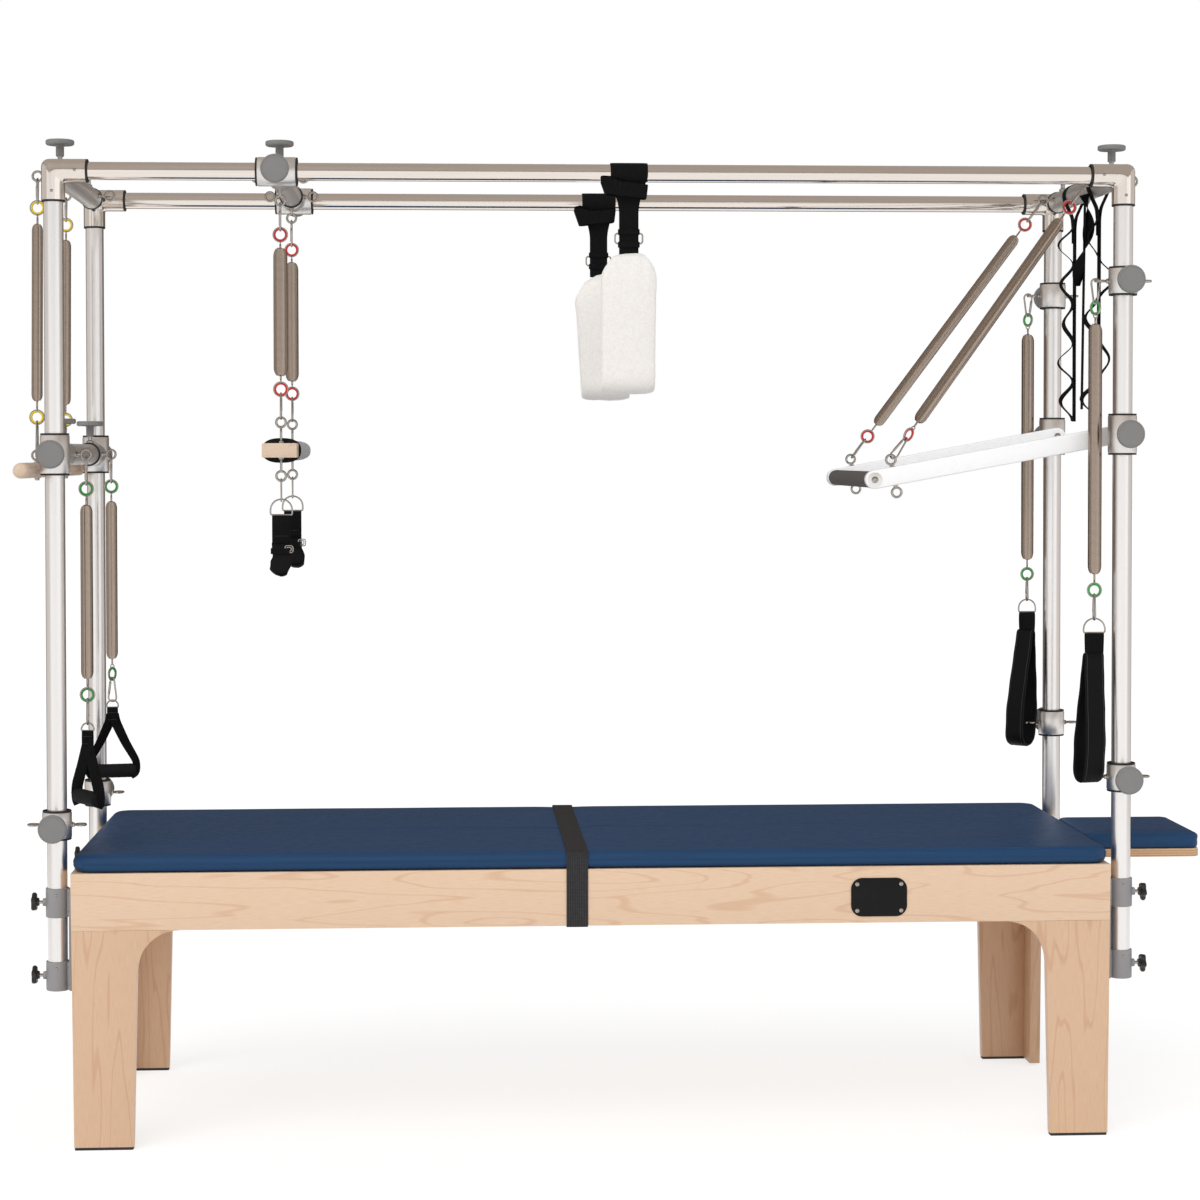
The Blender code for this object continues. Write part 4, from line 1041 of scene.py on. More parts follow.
@dataclass
class Table:
    """The maple table with its deck, mat, belt and plate."""

    length: float = 2.224
    width: float = 0.748
    board: float = 0.025
    apron_bottom: float = 0.4665
    leg_top: float = 0.139
    leg_foot: float = 0.125
    splay: float = 0.005
    leg_return: float = 0.100
    arch: float = 0.090
    end_arch: float = 0.060
    foot: float = 0.006
    mat_thick: float = 0.038
    belt_x: float = -0.040
    belt_width: float = 0.048
    belt_thick: float = 0.0025
    belt_return: float = 0.050
    plate_x: float = 0.6085
    plate_z: float = 0.522

    def outer_x(self, z: float) -> float:
        """Return how far out the end face stands at a height."""
        return self.length / 2 - self.splay * (1 - z / TABLE_TOP)

    def side_board(self, row: Row) -> None:
        """Make a long board: an apron and the wide faces of two legs, butted under it.

        Args:
            row: The board's side of the table.
        """
        shape = Shape()
        half, outer, under = self.length / 2, row.value * self.width / 2, self.apron_bottom
        low, high = sorted((outer - row.value * self.board, outer))
        seam = under + FIT
        edge = self.outer_x(seam)
        apron = [(-half, TABLE_TOP), (-edge, seam), (edge, seam), (half, TABLE_TOP)]
        shape.slab([(x - CENTRE_X, z) for x, z in apron], Axis.Y, low, high, MAPLE_LONG)
        leg = [(self.outer_x(under), under), (self.outer_x(self.foot), self.foot)]
        leg += [(half - self.splay - self.leg_foot + 0.00005, self.foot)]
        leg += arc((half - self.leg_top - self.arch, under - self.arch), self.arch, 0, 90, 14)
        for side in (1, -1):
            shape.slab([(side * x - CENTRE_X, z) for x, z in leg], Axis.Y, low, high, MAPLE_UPRIGHT_PAINTED_SHADE)
        Build("board_" + row.label, "frame", "maple", ("side_board_" + row.label,), 0.0028, 3).make(shape)

    def end_board(self, end: End) -> None:
        """Make an end board: an apron and two leg returns between the long boards.

        Args:
            end: The board's end of the table.
        """
        shape = Shape()
        half, inner = self.width / 2 - self.board - FIT, self.width / 2 - self.leg_return
        under = self.apron_bottom
        face = end.value * self.length / 2
        low, high = sorted((face - CENTRE_X, face - end.value * self.board - CENTRE_X))
        seam = under + FIT
        apron = [(half, TABLE_TOP), (half, seam), (-half, seam), (-half, TABLE_TOP)]
        shape.slab(apron, Axis.X, low, high, MAPLE_ACROSS)
        leg = [(half, under), (half, self.foot), (inner, self.foot)]
        leg += arc((inner - self.end_arch, under - self.end_arch), self.end_arch, 0, 90, 10)
        for side in (1, -1):
            shape.slab([(side * y, z) for y, z in leg], Axis.X, low, high, MAPLE_UPRIGHT_PAINTED_SHADE)

        def splay(point: Vector) -> Vector:
            """Lean the outer face in towards the foot, as the legs lean."""
            return point - end.out * (1 - point.z / TABLE_TOP) * self.splay

        board = Build("board_" + end.label, "frame", "maple", ("end_board_" + end.label,), 0.0015, 2)
        board.make(shape, splay)

    def feet(self) -> None:
        """Make the thin rubber pads under the four legs."""
        shape = Shape()
        inset = 0.0008
        for end in End:
            for row in Row:
                x = self.length / 2 - self.splay - self.leg_foot / 2
                y = self.width / 2 - self.board / 2
                middle = (end.value * x - CENTRE_X, row.value * y)
                outline = rounded(self.leg_foot / 2 - inset, self.board / 2 - inset, 0.004, middle)
                shape.slab(outline, Axis.Z, 0.0, self.foot + 0.0004, RUBBER)
        Build("leg_pads", "frame", "black", bevel=0.0006).make(shape)

    def mat(self) -> None:
        """Make the padded mat, pressed in a little where the belt holds it."""
        half_x, half_y = self.length / 2, self.width / 2
        pad = Cushion((-CENTRE_X, 0.0), half_x, half_y, TABLE_TOP + FIT, self.mat_thick, 0.044, 0.018, 0.0015)

        def press(point: Vector) -> Vector:
            """Sink the foam beside the belt and pull the long sides in.

            Args:
                point: A point of the mat.

            Returns:
                Its new place.
            """
            near = math.exp(-(((point.x - self.belt_x + CENTRE_X) / 0.040) ** 2))
            height = (point.z - TABLE_TOP) / self.mat_thick
            sink = 0.0016 * near * max(0.0, height)
            return Vector((point.x, point.y * (1 - 0.0012 * near * height), point.z - sink))

        piece = Build("mat", "frame", "vinyl", ("mat_pad",), sharp=60).make(pad.shape(VINYL), press)

    def belt(self) -> None:
        """Make the webbing belt round the mat and both aprons."""
        half, under, top = self.width / 2, self.apron_bottom, TABLE_TOP + FIT + self.mat_thick
        grow = FIT + self.belt_thick / 2 + 0.0002
        side = [(half - self.belt_return, under - grow), (half - 0.004, under - grow)]
        side += arc((half - 0.002, under + 0.002), 0.002 + grow, -90, 0, 3)
        side += arc((half - 0.012, top - 0.013), 0.012 + grow, 0, 90, 6)
        path = even([spot(self.belt_x, y, z) for y, z in side + [(-y, z) for y, z in reversed(side)]], 0.008)
        waved, widths = [], []
        for p in path:
            ripple = noise.noise(Vector((1.7, p.y * 9, p.z * 5)))
            waved.append(p + Vector((0.0008 * ripple, 0.0, 0.0004 * ripple if p.z > top - 0.004 else 0.0)))
            widths.append(self.belt_width - 0.0016 + 0.0016 * ripple)
        shape = Shape()
        shape.strap(waved, X, widths, self.belt_thick - 0.0004, BELT_WEBBING, fullness=7.0)
        for offset in (-0.3, 0.3):
            line = [p + X * self.belt_width * offset for p in waved]
            lifted = [p + X.cross(run) * self.belt_thick * 0.36 for p, run in zip(line, headings(line))]
            shape.tube(lifted, 0.0007, THREAD, 5)
        Build("mat_belt", "frame", "webbing", ("belt_strap",), sharp=50).make(shape)

    def plate(self) -> None:
        """Make the bare plate on the front apron and its four screws."""
        plate, heads = Shape(), Shape()
        back = -self.width / 2 - FIT
        face = back - 0.0018
        outline = rounded(0.0605, 0.0415, 0.024, (self.plate_x - CENTRE_X, self.plate_z), 10)
        plate.slab(outline, Axis.Y, face, back, POWDER_BLACK)
        Build("apron_plate", "frame", "black", ("front_plate",), 0.0005, 2).make(plate)
        for x in (-0.0475, 0.0475):
            for z in (-0.0285, 0.0285):
                heads.screw(spot(self.plate_x + x, face, self.plate_z + z), -Y, 0.0050, CHROME)
        Build("apron_plate_screws", "frame", "chrome").make(heads)

    def make(self) -> None:
        """Make all of the table's pieces."""
        for row in Row:
            self.side_board(row)
        for end in End:
            self.end_board(end)
        self.feet()
        self.mat()
        self.belt()
        self.plate()
        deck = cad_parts["deck"]
        deck.data.materials.clear()
        deck.data.materials.append(PLY.material())
        LOG.info("deck: birch plywood on the packed solid")


@dataclass
class HeadRest:
    """The small padded board beyond the right end, and the angle that holds it."""

    start: float = 1.1135
    length: float = 0.262
    width: float = 0.280
    top: float = 0.5845
    board: float = 0.018
    corner: float = 0.020
    leg: float = 0.040
    thick: float = 0.004
    bracket: float = 0.200

    def make(self) -> None:
        """Make the board, its pad, the angle and its screws."""
        half_x, half_y = self.length / 2, self.width / 2
        middle = (self.start + half_x - CENTRE_X, 0.0)
        board, steel, heads = Shape(), Shape(), Shape()
        outline = rounded(half_x, half_y, self.corner, middle, 8)
        board.slab(outline, Axis.Z, self.top - self.board, self.top, PLY)
        Build("rest_board", "frame", "plywood", ("headrest_board",), 0.0016, 3).make(board)
        pad = Cushion(middle, half_x, half_y, self.top + FIT, 0.038, 0.022, 0.010, 0.0035, step=0.012)
        piece = Build("rest_pad", "frame", "vinyl", ("headrest_pad",), sharp=60).make(pad.shape(VINYL))
        wall, shelf, thick, leg = WALL_X - CENTRE_X, self.top - self.board - FIT, self.thick, self.leg
        angle = [(wall + leg, shelf), (wall + leg, shelf - thick)]
        angle += arc((wall + thick + 0.003, shelf - thick - 0.003), 0.003, 90, 180, 4)
        angle += [(wall + thick, shelf - leg), (wall, shelf - leg), (wall, shelf)]
        steel.slab(angle, Axis.Y, -self.bracket / 2, self.bracket / 2, POWDER_GREY)
        Build("rest_angle", "frame", "grey", ("headrest_bracket",), 0.0007, 2).make(steel)
        for y in (-0.075, -0.025, 0.025, 0.075):
            heads.screw(Vector((wall + thick, y, shelf - 0.024)), X, 0.0038, CHROME)
            heads.screw(Vector((wall + 0.024, y, shelf - thick)), -Z, 0.0038, CHROME)
        Build("rest_angle_screws", "frame", "chrome").make(heads)


@dataclass
class Fittings:
    """The shells that clamps and bars share: sleeves' seals, knobs and eye bolts."""

    seals: Shape = field(default_factory=Shape)
    knobs: Shape = field(default_factory=Shape)
    metal: Shape = field(default_factory=Shape)
    knob_radius: float = 0.0305
    knob_thick: float = 0.0115
    knob_reach: float = 0.077
    eye_wire: float = 0.0027

    def knob(self, centre: Vector, direction: Vector, start: float) -> None:
        """Add a clamp screw: a steel screw, a fluted stem and a knurled disc.

        Args:
            centre: The middle of the tube it clamps.
            direction: Which way it points.
            start: How far from the centre the surface is.
        """
        rim, reach = self.knob_radius, self.knob_reach
        neck = reach - self.knob_thick
        stem = neck - 0.024
        foot = [(0.003, start - 0.002), (0.0085, start - 0.002), (0.0085, start + 0.003)]
        foot += [(0.0052, start + 0.005), (0.0050, stem - 0.002), (0.0066, stem - 0.001)]
        foot += [(0.0066, stem + 0.003), (0.003, stem + 0.003)]
        self.metal.lathe(foot, direction, centre, CHROME, 24)
        disc = [(0.003, stem), (0.0082, stem), (0.0088, stem + 0.001), (0.0088, neck - 0.003), (0.0110, neck)]
        disc += [(rim - 0.0030, neck), (rim, neck + 0.0025), (rim, reach - 0.0030)]
        disc += [(rim - 0.0010, reach - 0.0010), (rim - 0.0035, reach), (rim - 0.0045, reach - 0.0010)]
        disc += [(rim * 0.45, reach - 0.0008), (0.002, reach - 0.0004)]

        def knurl(ring: int, facet: int) -> float:
            """Cut fine teeth in the disc's rim and flutes in the stem."""
            return 0.972 if facet % 2 and (6 <= ring <= 8 or 1 <= ring <= 3) else 1.0

        self.knobs.lathe(disc, direction, centre, KNOB_GREY, 80, knurl=knurl)

    def eye(self, centre: Vector, way: Vector, ring_axis: Vector, start: float, reach: float = 0.050) -> None:
        """Add an eye bolt: collar, nut, shank and ring.

        Args:
            centre: The middle of the tube it goes through.
            way: Which way it points.
            ring_axis: The ring's axis.
            start: How far from the centre the surface is.
            reach: How far from the centre the ring's centre is.
        """
        middle = centre + way * reach
        self.metal.rod(centre + way * start, middle - way * EYE_RING, self.eye_wire, CHROME, 12)
        self.metal.hoop(middle, ring_axis, EYE_RING, self.eye_wire, CHROME)
        if reach - EYE_RING - start > 0.006:
            self.washer(centre, way, start - 0.001, start + 0.0015, 0.0065)
            self.metal.nut(centre + way * (start + 0.0037), way, 0.0095, 0.0042, CHROME)

    def washer(self, centre: Vector, way: Vector, low: float, high: float, radius: float) -> None:
        """Add a thick washer between two distances from a centre.

        Args:
            centre: The point that both distances start from.
            way: The washer's axis.
            low: Where it starts.
            high: Where it ends.
            radius: Its radius.
        """
        self.metal.rod(centre + way * low, centre + way * high, radius, CHROME, 20)

    def seal(self, place: Vector, axis: Vector, radius: float, width: float) -> None:
        """Add a rubber ring that stands slightly proud of a sleeve's end.

        Args:
            place: The ring's centre.
            axis: The ring's axis.
            radius: The sleeve's radius.
            width: The ring's width.
        """
        half = width / 2
        profile = [(radius - 0.003, -half), (radius + 0.0002, -half), (radius + 0.0009, -half * 0.4)]
        self.seals.lathe(mirrored(profile), axis, place, RUBBER, 40, closed=True)

    def sleeve(self, shape: Shape, centre: Vector, axis: Vector, length: float, bore: float) -> None:
        """Add a clamp's sleeve, open at both ends, with a seal in each.

        Args:
            shape: The clamp's body.
            centre: The sleeve's middle.
            axis: The sleeve's axis.
            length: The sleeve's length.
            bore: The radius of its bore.
        """
        soft, seal, radius = 0.0018, 0.0035, CLAMP_RADIUS
        body = length / 2 - seal
        profile = [(bore + 0.0004, -body), (radius - soft, -body), (radius, -body + soft)]
        shape.lathe(mirrored(profile), axis, centre, TURNED, 48, closed=True)
        for side in (-1, 1):
            self.seal(centre + axis * side * (length / 2 - seal / 2), axis, radius - 0.0014, seal)

    def make(self, prefix: str, body: str) -> None:
        """Make the pieces that have shells.

        Args:
            prefix: The start of the pieces' names.
            body: The body that they ride on.
        """
        for label, slot in (("seals", "black"), ("knobs", "grey"), ("metal", "chrome")):
            shape = getattr(self, label)
            if shape.verts:
                Build(f"{prefix}_{label.replace('metal', 'bolts')}", body, slot).make(shape)


@dataclass
class Canopy:
    """The fixed frame: four posts in socket brackets, two rails, four elbows and two end bars."""

    post_radius: float = 0.021
    post_wall: float = 0.002
    post_bottom: float = 0.338
    rail_radius: float = 0.019
    corner_radius: float = 0.025
    corner_reach: tuple[float, float, float] = (0.0735, 0.0450, 0.0660)
    corner_wall: float = 0.0225
    socket_radius: float = 0.0247
    socket_height: float = 0.062
    socket_levels: tuple[float, float] = (0.366, 0.522)
    bracket_half: float = 0.024

    def post(self, end: End, row: Row) -> None:
        """Make a post.

        Args:
            end: The post's end of the table.
            row: The post's side of the table.
        """
        x, y = end.value * POST_X, row.value * POST_Y
        shape = Shape()
        top = RAIL_Z - self.corner_wall - FIT
        shape.pipe(spot(x, y, self.post_bottom), spot(x, y, top), self.post_radius, self.post_wall, ALUMINIUM)
        name = f"{row.label}_{end.label}"
        Build("upright_" + name, "frame", "aluminium", ("post_" + name,)).make(shape)

    def rail(self, row: Row) -> None:
        """Make a long rail.

        Args:
            row: The rail's side of the table.
        """
        reach, y = POST_X - self.corner_wall - FIT, row.value * POST_Y
        shape = Shape()
        shape.pipe(spot(-reach, y, RAIL_Z), spot(reach, y, RAIL_Z), self.rail_radius, 0.0015, STAINLESS)
        Build("top_rail_" + row.label, "frame", "chrome", ("rail_" + row.label,)).make(shape)

    def elbow(self, end: End, row: Row, fittings: Fittings) -> None:
        """Make a polished three-way elbow with a seal on each arm and its grub screws.

        Args:
            end: The elbow's end of the table.
            row: The elbow's side of the table.
            fittings: The set that takes the seals and screws.
        """
        corner = spot(end.value * POST_X, row.value * POST_Y, RAIL_Z)
        inward, across, down = -end.out, -row.out, -Z
        reach_x, reach_y, reach_z = self.corner_reach
        seal, radius = 0.0042, self.corner_radius
        inner, outer, turn = 0.004, 0.004 + 2 * radius, 0.017
        hinge = corner + (inward + down) * (radius + inner)
        rings = []

        def section(place: Vector, out: Vector, far: float) -> None:
            """Add the ring that runs from the inside of the bend to a distance out.

            Args:
                place: The point that the ring turns about.
                out: The direction away from it.
                far: The distance of the ring's outermost point.
            """
            half = (far - inner) / 2
            middle = place + out * (inner + half)
            angles = [2 * math.pi * k / 40 for k in range(40)]
            rings.append([middle + out * half * math.cos(a) + across * radius * math.sin(a) for a in angles])

        section(hinge + down * (reach_z - seal - radius - inner), -inward, outer)
        for angle in (math.radians(5 * k) for k in range(19)):
            cos, sin = math.cos(angle), math.sin(angle)
            flat = outer / max(cos, sin)
            core = (outer - turn) * (cos + sin)
            reach = core + math.sqrt(max(0.0, core * core - 2 * (outer - turn) ** 2 + turn * turn))
            section(hinge, -inward * cos - down * sin, reach if flat * min(cos, sin) > outer - turn else flat)
        section(hinge + inward * (reach_x - seal - radius - inner), -down, outer)
        shape = Shape()
        shape.skin(rings, ELBOW)
        side, mouth = radius * 0.93, reach_y - seal
        arm = [(side * 0.25, -side * 0.62), (side * 0.62, -side * 0.50), (side * 0.88, -side * 0.24)]
        arm += [(side, 0.004), (side, mouth - 0.001), (side - 0.001, mouth), (side * 0.3, mouth)]
        shape.lathe(arm, across, corner + across * 0.004, ELBOW, 40)
        name = f"{row.label}_{end.label}"
        Build("elbow_" + name, "frame", "chrome", ("corner_" + name,), sharp=50).make(shape)
        fittings.seal(corner + down * (reach_z - seal / 2), down, radius - 0.0008, seal)
        fittings.seal(corner + inward * (reach_x - seal / 2), inward, radius - 0.0008, seal)
        fittings.seal(corner + across * (reach_y + 0.0040), across, BAR_RADIUS + 0.0014, 0.0085)
        for place in (inward * 0.048, down * 0.044):
            fittings.metal.screw(corner + place - across * (radius - 0.0006), -across, 0.0035, CHROME)

    def bracket(self, end: End, row: Row) -> None:
        """Make a wall bracket: a plate, two sockets, screws and two star knobs.

        Args:
            end: The bracket's end of the table.
            row: The bracket's side of the table.
        """
        x, y = end.value * POST_X, row.value * POST_Y
        wall, half, socket = end.value * WALL_X, self.socket_height / 2, self.socket_radius
        low, high = self.socket_levels[0] - half, self.socket_levels[1] + half
        name = f"{row.label}_{end.label}"
        steel, heads, knobs = Shape(), Shape(), Shape()
        near, far = sorted((wall, wall + end.value * 0.006))
        outline = rounded(self.bracket_half, (high - low) / 2, 0.006, (y, (low + high) / 2), 5)
        steel.slab(outline, Axis.X, near - CENTRE_X, far - CENTRE_X, POWDER_GREY)
        for level in self.socket_levels:
            centre = spot(x, y, level)
            steel.pipe(centre - Z * half, centre + Z * half, socket, 0.0033, POWDER_GREY)
            near, far = sorted((wall, end.value * (POST_X - socket + 0.003)))
            web = rounded(0.014, half - 0.002, 0.003, (y, level), 3)
            steel.slab(web, Axis.X, near - CENTRE_X, far - CENTRE_X, POWDER_GREY)
            face = centre + end.out * socket
            tip = face + end.out * 0.030
            steel.rod(face - end.out * 0.002, face + end.out * 0.006, 0.0085, POWDER_GREY)
            heads.rod(face + end.out * 0.004, tip - end.out * 0.008, 0.0036, CHROME, 16)
            self.star(knobs, tip, end.out)
            for side in (-0.0195, 0.0195):
                for drop in (-0.019, 0.019):
                    place = spot(wall + end.value * 0.006, y + side, level + drop)
                    heads.screw(place, end.out, 0.0032, CHROME)
            heads.screw(centre + Z * 0.018 + row.out * (socket - 0.0005), row.out, 0.003, CHROME)
        bottom = spot(x, y, low + 0.0005)
        steel.rod(bottom, bottom + Z * 0.0022, socket - 0.002, POWDER_GREY)
        Build("socket_" + name, "frame", "grey", ("bracket_" + name,), 0.0007, 2, sharp=35).make(steel)
        Build("socket_screws_" + name, "frame", "chrome").make(heads)
        Build("star_knobs_" + name, "frame", "black", sharp=32).make(knobs)

    def star(self, shape: Shape, tip: Vector, outward: Vector) -> None:
        """Add a five-lobed knob with a round hub.

        Args:
            shape: The shape that takes it.
            tip: The middle of its outer face.
            outward: Which way it points.
        """

        def lobes(ring: int, facet: int) -> float:
            """Swell five lobes round the knob."""
            return 0.86 + 0.14 * math.cos(5 * 2 * math.pi * facet / 60)

        size = 0.0205
        profile = [(0.004, -0.016), (size * 0.42, -0.016), (size * 0.48, -0.0115), (size * 0.86, -0.011)]
        profile += [(size, -0.008), (size, -0.0035), (size * 0.9, -0.001)]
        profile += [(size * 0.6, -0.0002), (0.003, 0.0)]
        shape.lathe(profile, outward, tip, STAR_BLACK, 60, knurl=lobes)

    def end_bar(self, end: End, fittings: Fittings) -> None:
        """Make an end bar with its knobs and eye bolts.

        Args:
            end: The bar's end of the table.
            fittings: The set that takes the knobs and eye bolts.
        """
        x, reach = end.value * POST_X, POST_Y - self.corner_reach[1] - FIT
        shape = Shape()
        shape.pipe(spot(x, -reach, RAIL_Z), spot(x, reach, RAIL_Z), BAR_RADIUS, 0.002, ALUMINIUM_BAR)
        Build("end_bar_" + end.label, "frame", "aluminium", ("top_bar_" + end.label,)).make(shape)
        for row in Row:
            fittings.knob(spot(x, row.value * TOP_KNOB_Y, RAIL_Z), Z, BAR_RADIUS)
            for direction in (X, -X):
                fittings.eye(spot(x, row.value * EYE_Y, RAIL_Z), direction, Y, BAR_RADIUS)

    def make(self) -> None:
        """Make the whole fixed frame."""
        for end in End:
            for row in Row:
                self.post(end, row)
        for row in Row:
            self.rail(row)
        for end in End:
            fittings = Fittings()
            self.end_bar(end, fittings)
            for row in Row:
                self.elbow(end, row, fittings)
                self.bracket(end, row)
            fittings.make("frame_" + end.label, "frame")


@dataclass
class CrossBar:
    """A bar across the frame between two T clamps that slide on the rails or posts."""

    prefix: str
    centre: tuple[float, float]
    axis: Vector
    bore: float
    eyes: tuple[tuple[Vector, Vector], ...]
    length: float = 0.089
    boss: float = 0.0275
    mouth: float = 0.200

    def clamp(self, row: Row, fittings: Fittings) -> None:
        """Make one T clamp.

        Args:
            row: The clamp's side of the table.
            fittings: The set that takes its small parts.
        """
        x, z = self.centre
        middle = spot(x, row.value * POST_Y, z)
        shape = Shape()
        fittings.sleeve(shape, middle, self.axis, self.length, self.bore)
        start, seal, bore = POST_Y - self.mouth, 0.005, BAR_RADIUS + 0.0006
        stop = start - seal
        profile = [(bore, 0.026), (self.boss - 0.002, 0.020), (self.boss, 0.024)]
        profile += [(self.boss, stop - 0.0015), (self.boss - 0.0015, stop), (bore, stop)]
        shape.lathe(profile, -row.out, middle, TURNED, 48, closed=True)
        shape.pad(middle, row.out)
        node = f"{self.prefix}_clamp_{row.label}"
        Build(f"{self.prefix}_tee_{row.label}", self.prefix, "cast", (node,), sharp=45).make(shape)
        fittings.seal(middle - row.out * (start - seal / 2), row.out, self.boss - 0.0010, seal)
        fittings.knob(middle, row.out, CLAMP_RADIUS)
        fittings.knob(spot(x, row.value * TOP_KNOB_Y, z), Z, self.boss)
        for direction, ring_axis in self.eyes:
            fittings.eye(spot(x, row.value * EYE_Y, z), direction, ring_axis, self.boss)

    def make(self) -> None:
        """Make the bar, both clamps and their small parts."""
        fittings = Fittings()
        for row in Row:
            self.clamp(row, fittings)
        x, z = self.centre
        reach = POST_Y - CLAMP_RADIUS - 0.010
        shape = Shape()
        shape.pipe(spot(x, -reach, z), spot(x, reach, z), BAR_RADIUS, 0.002, ALUMINIUM_BAR)
        Build(self.prefix + "_bar", self.prefix, "aluminium", (self.prefix + "_tube",)).make(shape)
        fittings.make(self.prefix, self.prefix)


@dataclass
class Collar:
    """A clamp collar on a post with its knob and eye bolts."""

    place: str
    end: End
    row: Row
    z: float
    height: float = 0.0625
    eyes: tuple[Vector, ...] = (X, -X)
    moves: bool = True

    def make(self) -> None:
        """Make the collar and its small parts."""
        name = f"collar_{self.place}_{self.row.label}"
        body = f"{self.place}_collar_{self.row.label}" if self.moves else "frame"
        middle = spot(self.end.value * POST_X, self.row.value * POST_Y, self.z)
        shape, fittings = Shape(), Fittings()
        fittings.sleeve(shape, middle, Z, self.height, 0.0213)
        shape.pad(middle, self.row.out)
        Build(name, body, "cast", (f"{self.place}_clamp_{self.row.label}",), sharp=45).make(shape)
        fittings.knob(middle, self.row.out, CLAMP_RADIUS)
        for direction in self.eyes:
            fittings.eye(middle, direction, Z, CLAMP_RADIUS)
        fittings.make(name, body)


@dataclass
class PushBar:
    """The push-through bar: two painted arms, a foam grip and four eye bolts."""

    arm_y: float = 0.284
    thick: float = 0.024
    depth: float = 0.040
    length: float = 0.543
    drop: float = 10.4
    eye_back: float = 0.044
    eye_up: float = 0.016
    grip_radius: float = 0.018

    @property
    def along(self) -> Vector:
        """Return the direction from the pivot to the grip."""
        return Vector((-math.cos(math.radians(self.drop)), 0, -math.sin(math.radians(self.drop))))

    @property
    def up(self) -> Vector:
        """Return the direction square to the arms, upwards."""
        return Vector((-math.sin(math.radians(self.drop)), 0, math.cos(math.radians(self.drop))))

    def eye_foot(self, row: Row) -> Vector:
        """Return the middle of an arm where its eye bolts go through it."""
        return spot(POST_X, row.value * self.arm_y, PUSH_BAR_Z) + self.along * (self.length - self.eye_back)

    def eye_centre(self, row: Row) -> Vector:
        """Return the centre of the ring of the eye bolt above an arm."""
        return self.eye_foot(row) + self.up * (self.depth / 2 + self.eye_up)

    def make(self) -> None:
        """Make the arms, hubs, core, grip, caps and eye bolts."""
        shape, core, grip, fittings = Shape(), Shape(), Shape(), Fittings()
        pivot = spot(POST_X, 0.0, PUSH_BAR_Z)
        tip = pivot + self.along * self.length
        half = self.depth / 2
        start = math.degrees(math.atan2(self.up.z, self.up.x))
        outline = arc((pivot.x, pivot.z), half, start - 180, start, 14)
        outline += arc((tip.x, tip.z), half, start, start + 180, 14)
        for row in Row:
            low = row.value * self.arm_y - self.thick / 2
            shape.slab(outline, Axis.Y, low, low + self.thick, POWDER_WHITE)
        Build("push_arms", "push_bar", "white", ("push_bar",), 0.0032, 3, sharp=40).make(shape)
        core.rod(tip - Y * 0.272, tip + Y * 0.272, 0.0105, ALUMINIUM_BAR)
        inside, face = self.arm_y - self.thick / 2, self.arm_y + self.thick / 2
        for row in Row:
            core.rod(pivot + row.out * (face - 0.001), pivot + row.out * 0.2985, 0.0125, TURNED, 24)
            core.screw(pivot + row.out * inside, -row.out, 0.008, CHROME)
            cap = tip + row.out * (face + 0.0009)
            core.rod(tip + row.out * (face - 0.001), cap, 0.0160, ALUMINIUM_BAR, 40, 0.0007)
            core.screw(cap, row.out, 0.0075, CHROME)
            for up in (self.up, -self.up):
                fittings.eye(self.eye_foot(row), up, Y, half, half + self.eye_up)
                fittings.washer(self.eye_foot(row), up, half - 0.001, half + 0.0022, 0.0062)
        Build("push_bar_core", "push_bar", "aluminium").make(core)
        fittings.make("push_bar", "push_bar")
        end, radius = inside - 0.0006, self.grip_radius
        lip = [(0.0112, 0.0), (radius - 0.004, 0.0), (radius - 0.0012, 0.0012), (radius, 0.004)]
        grip.lathe(ribbed(lip, 2 * end, 46, 0.004), Y, tip - Y * end, FOAM, 40, closed=True)
        piece = Build("push_grip", "push_bar", "foam", ("push_bar_grip",), sharp=60).make(grip)


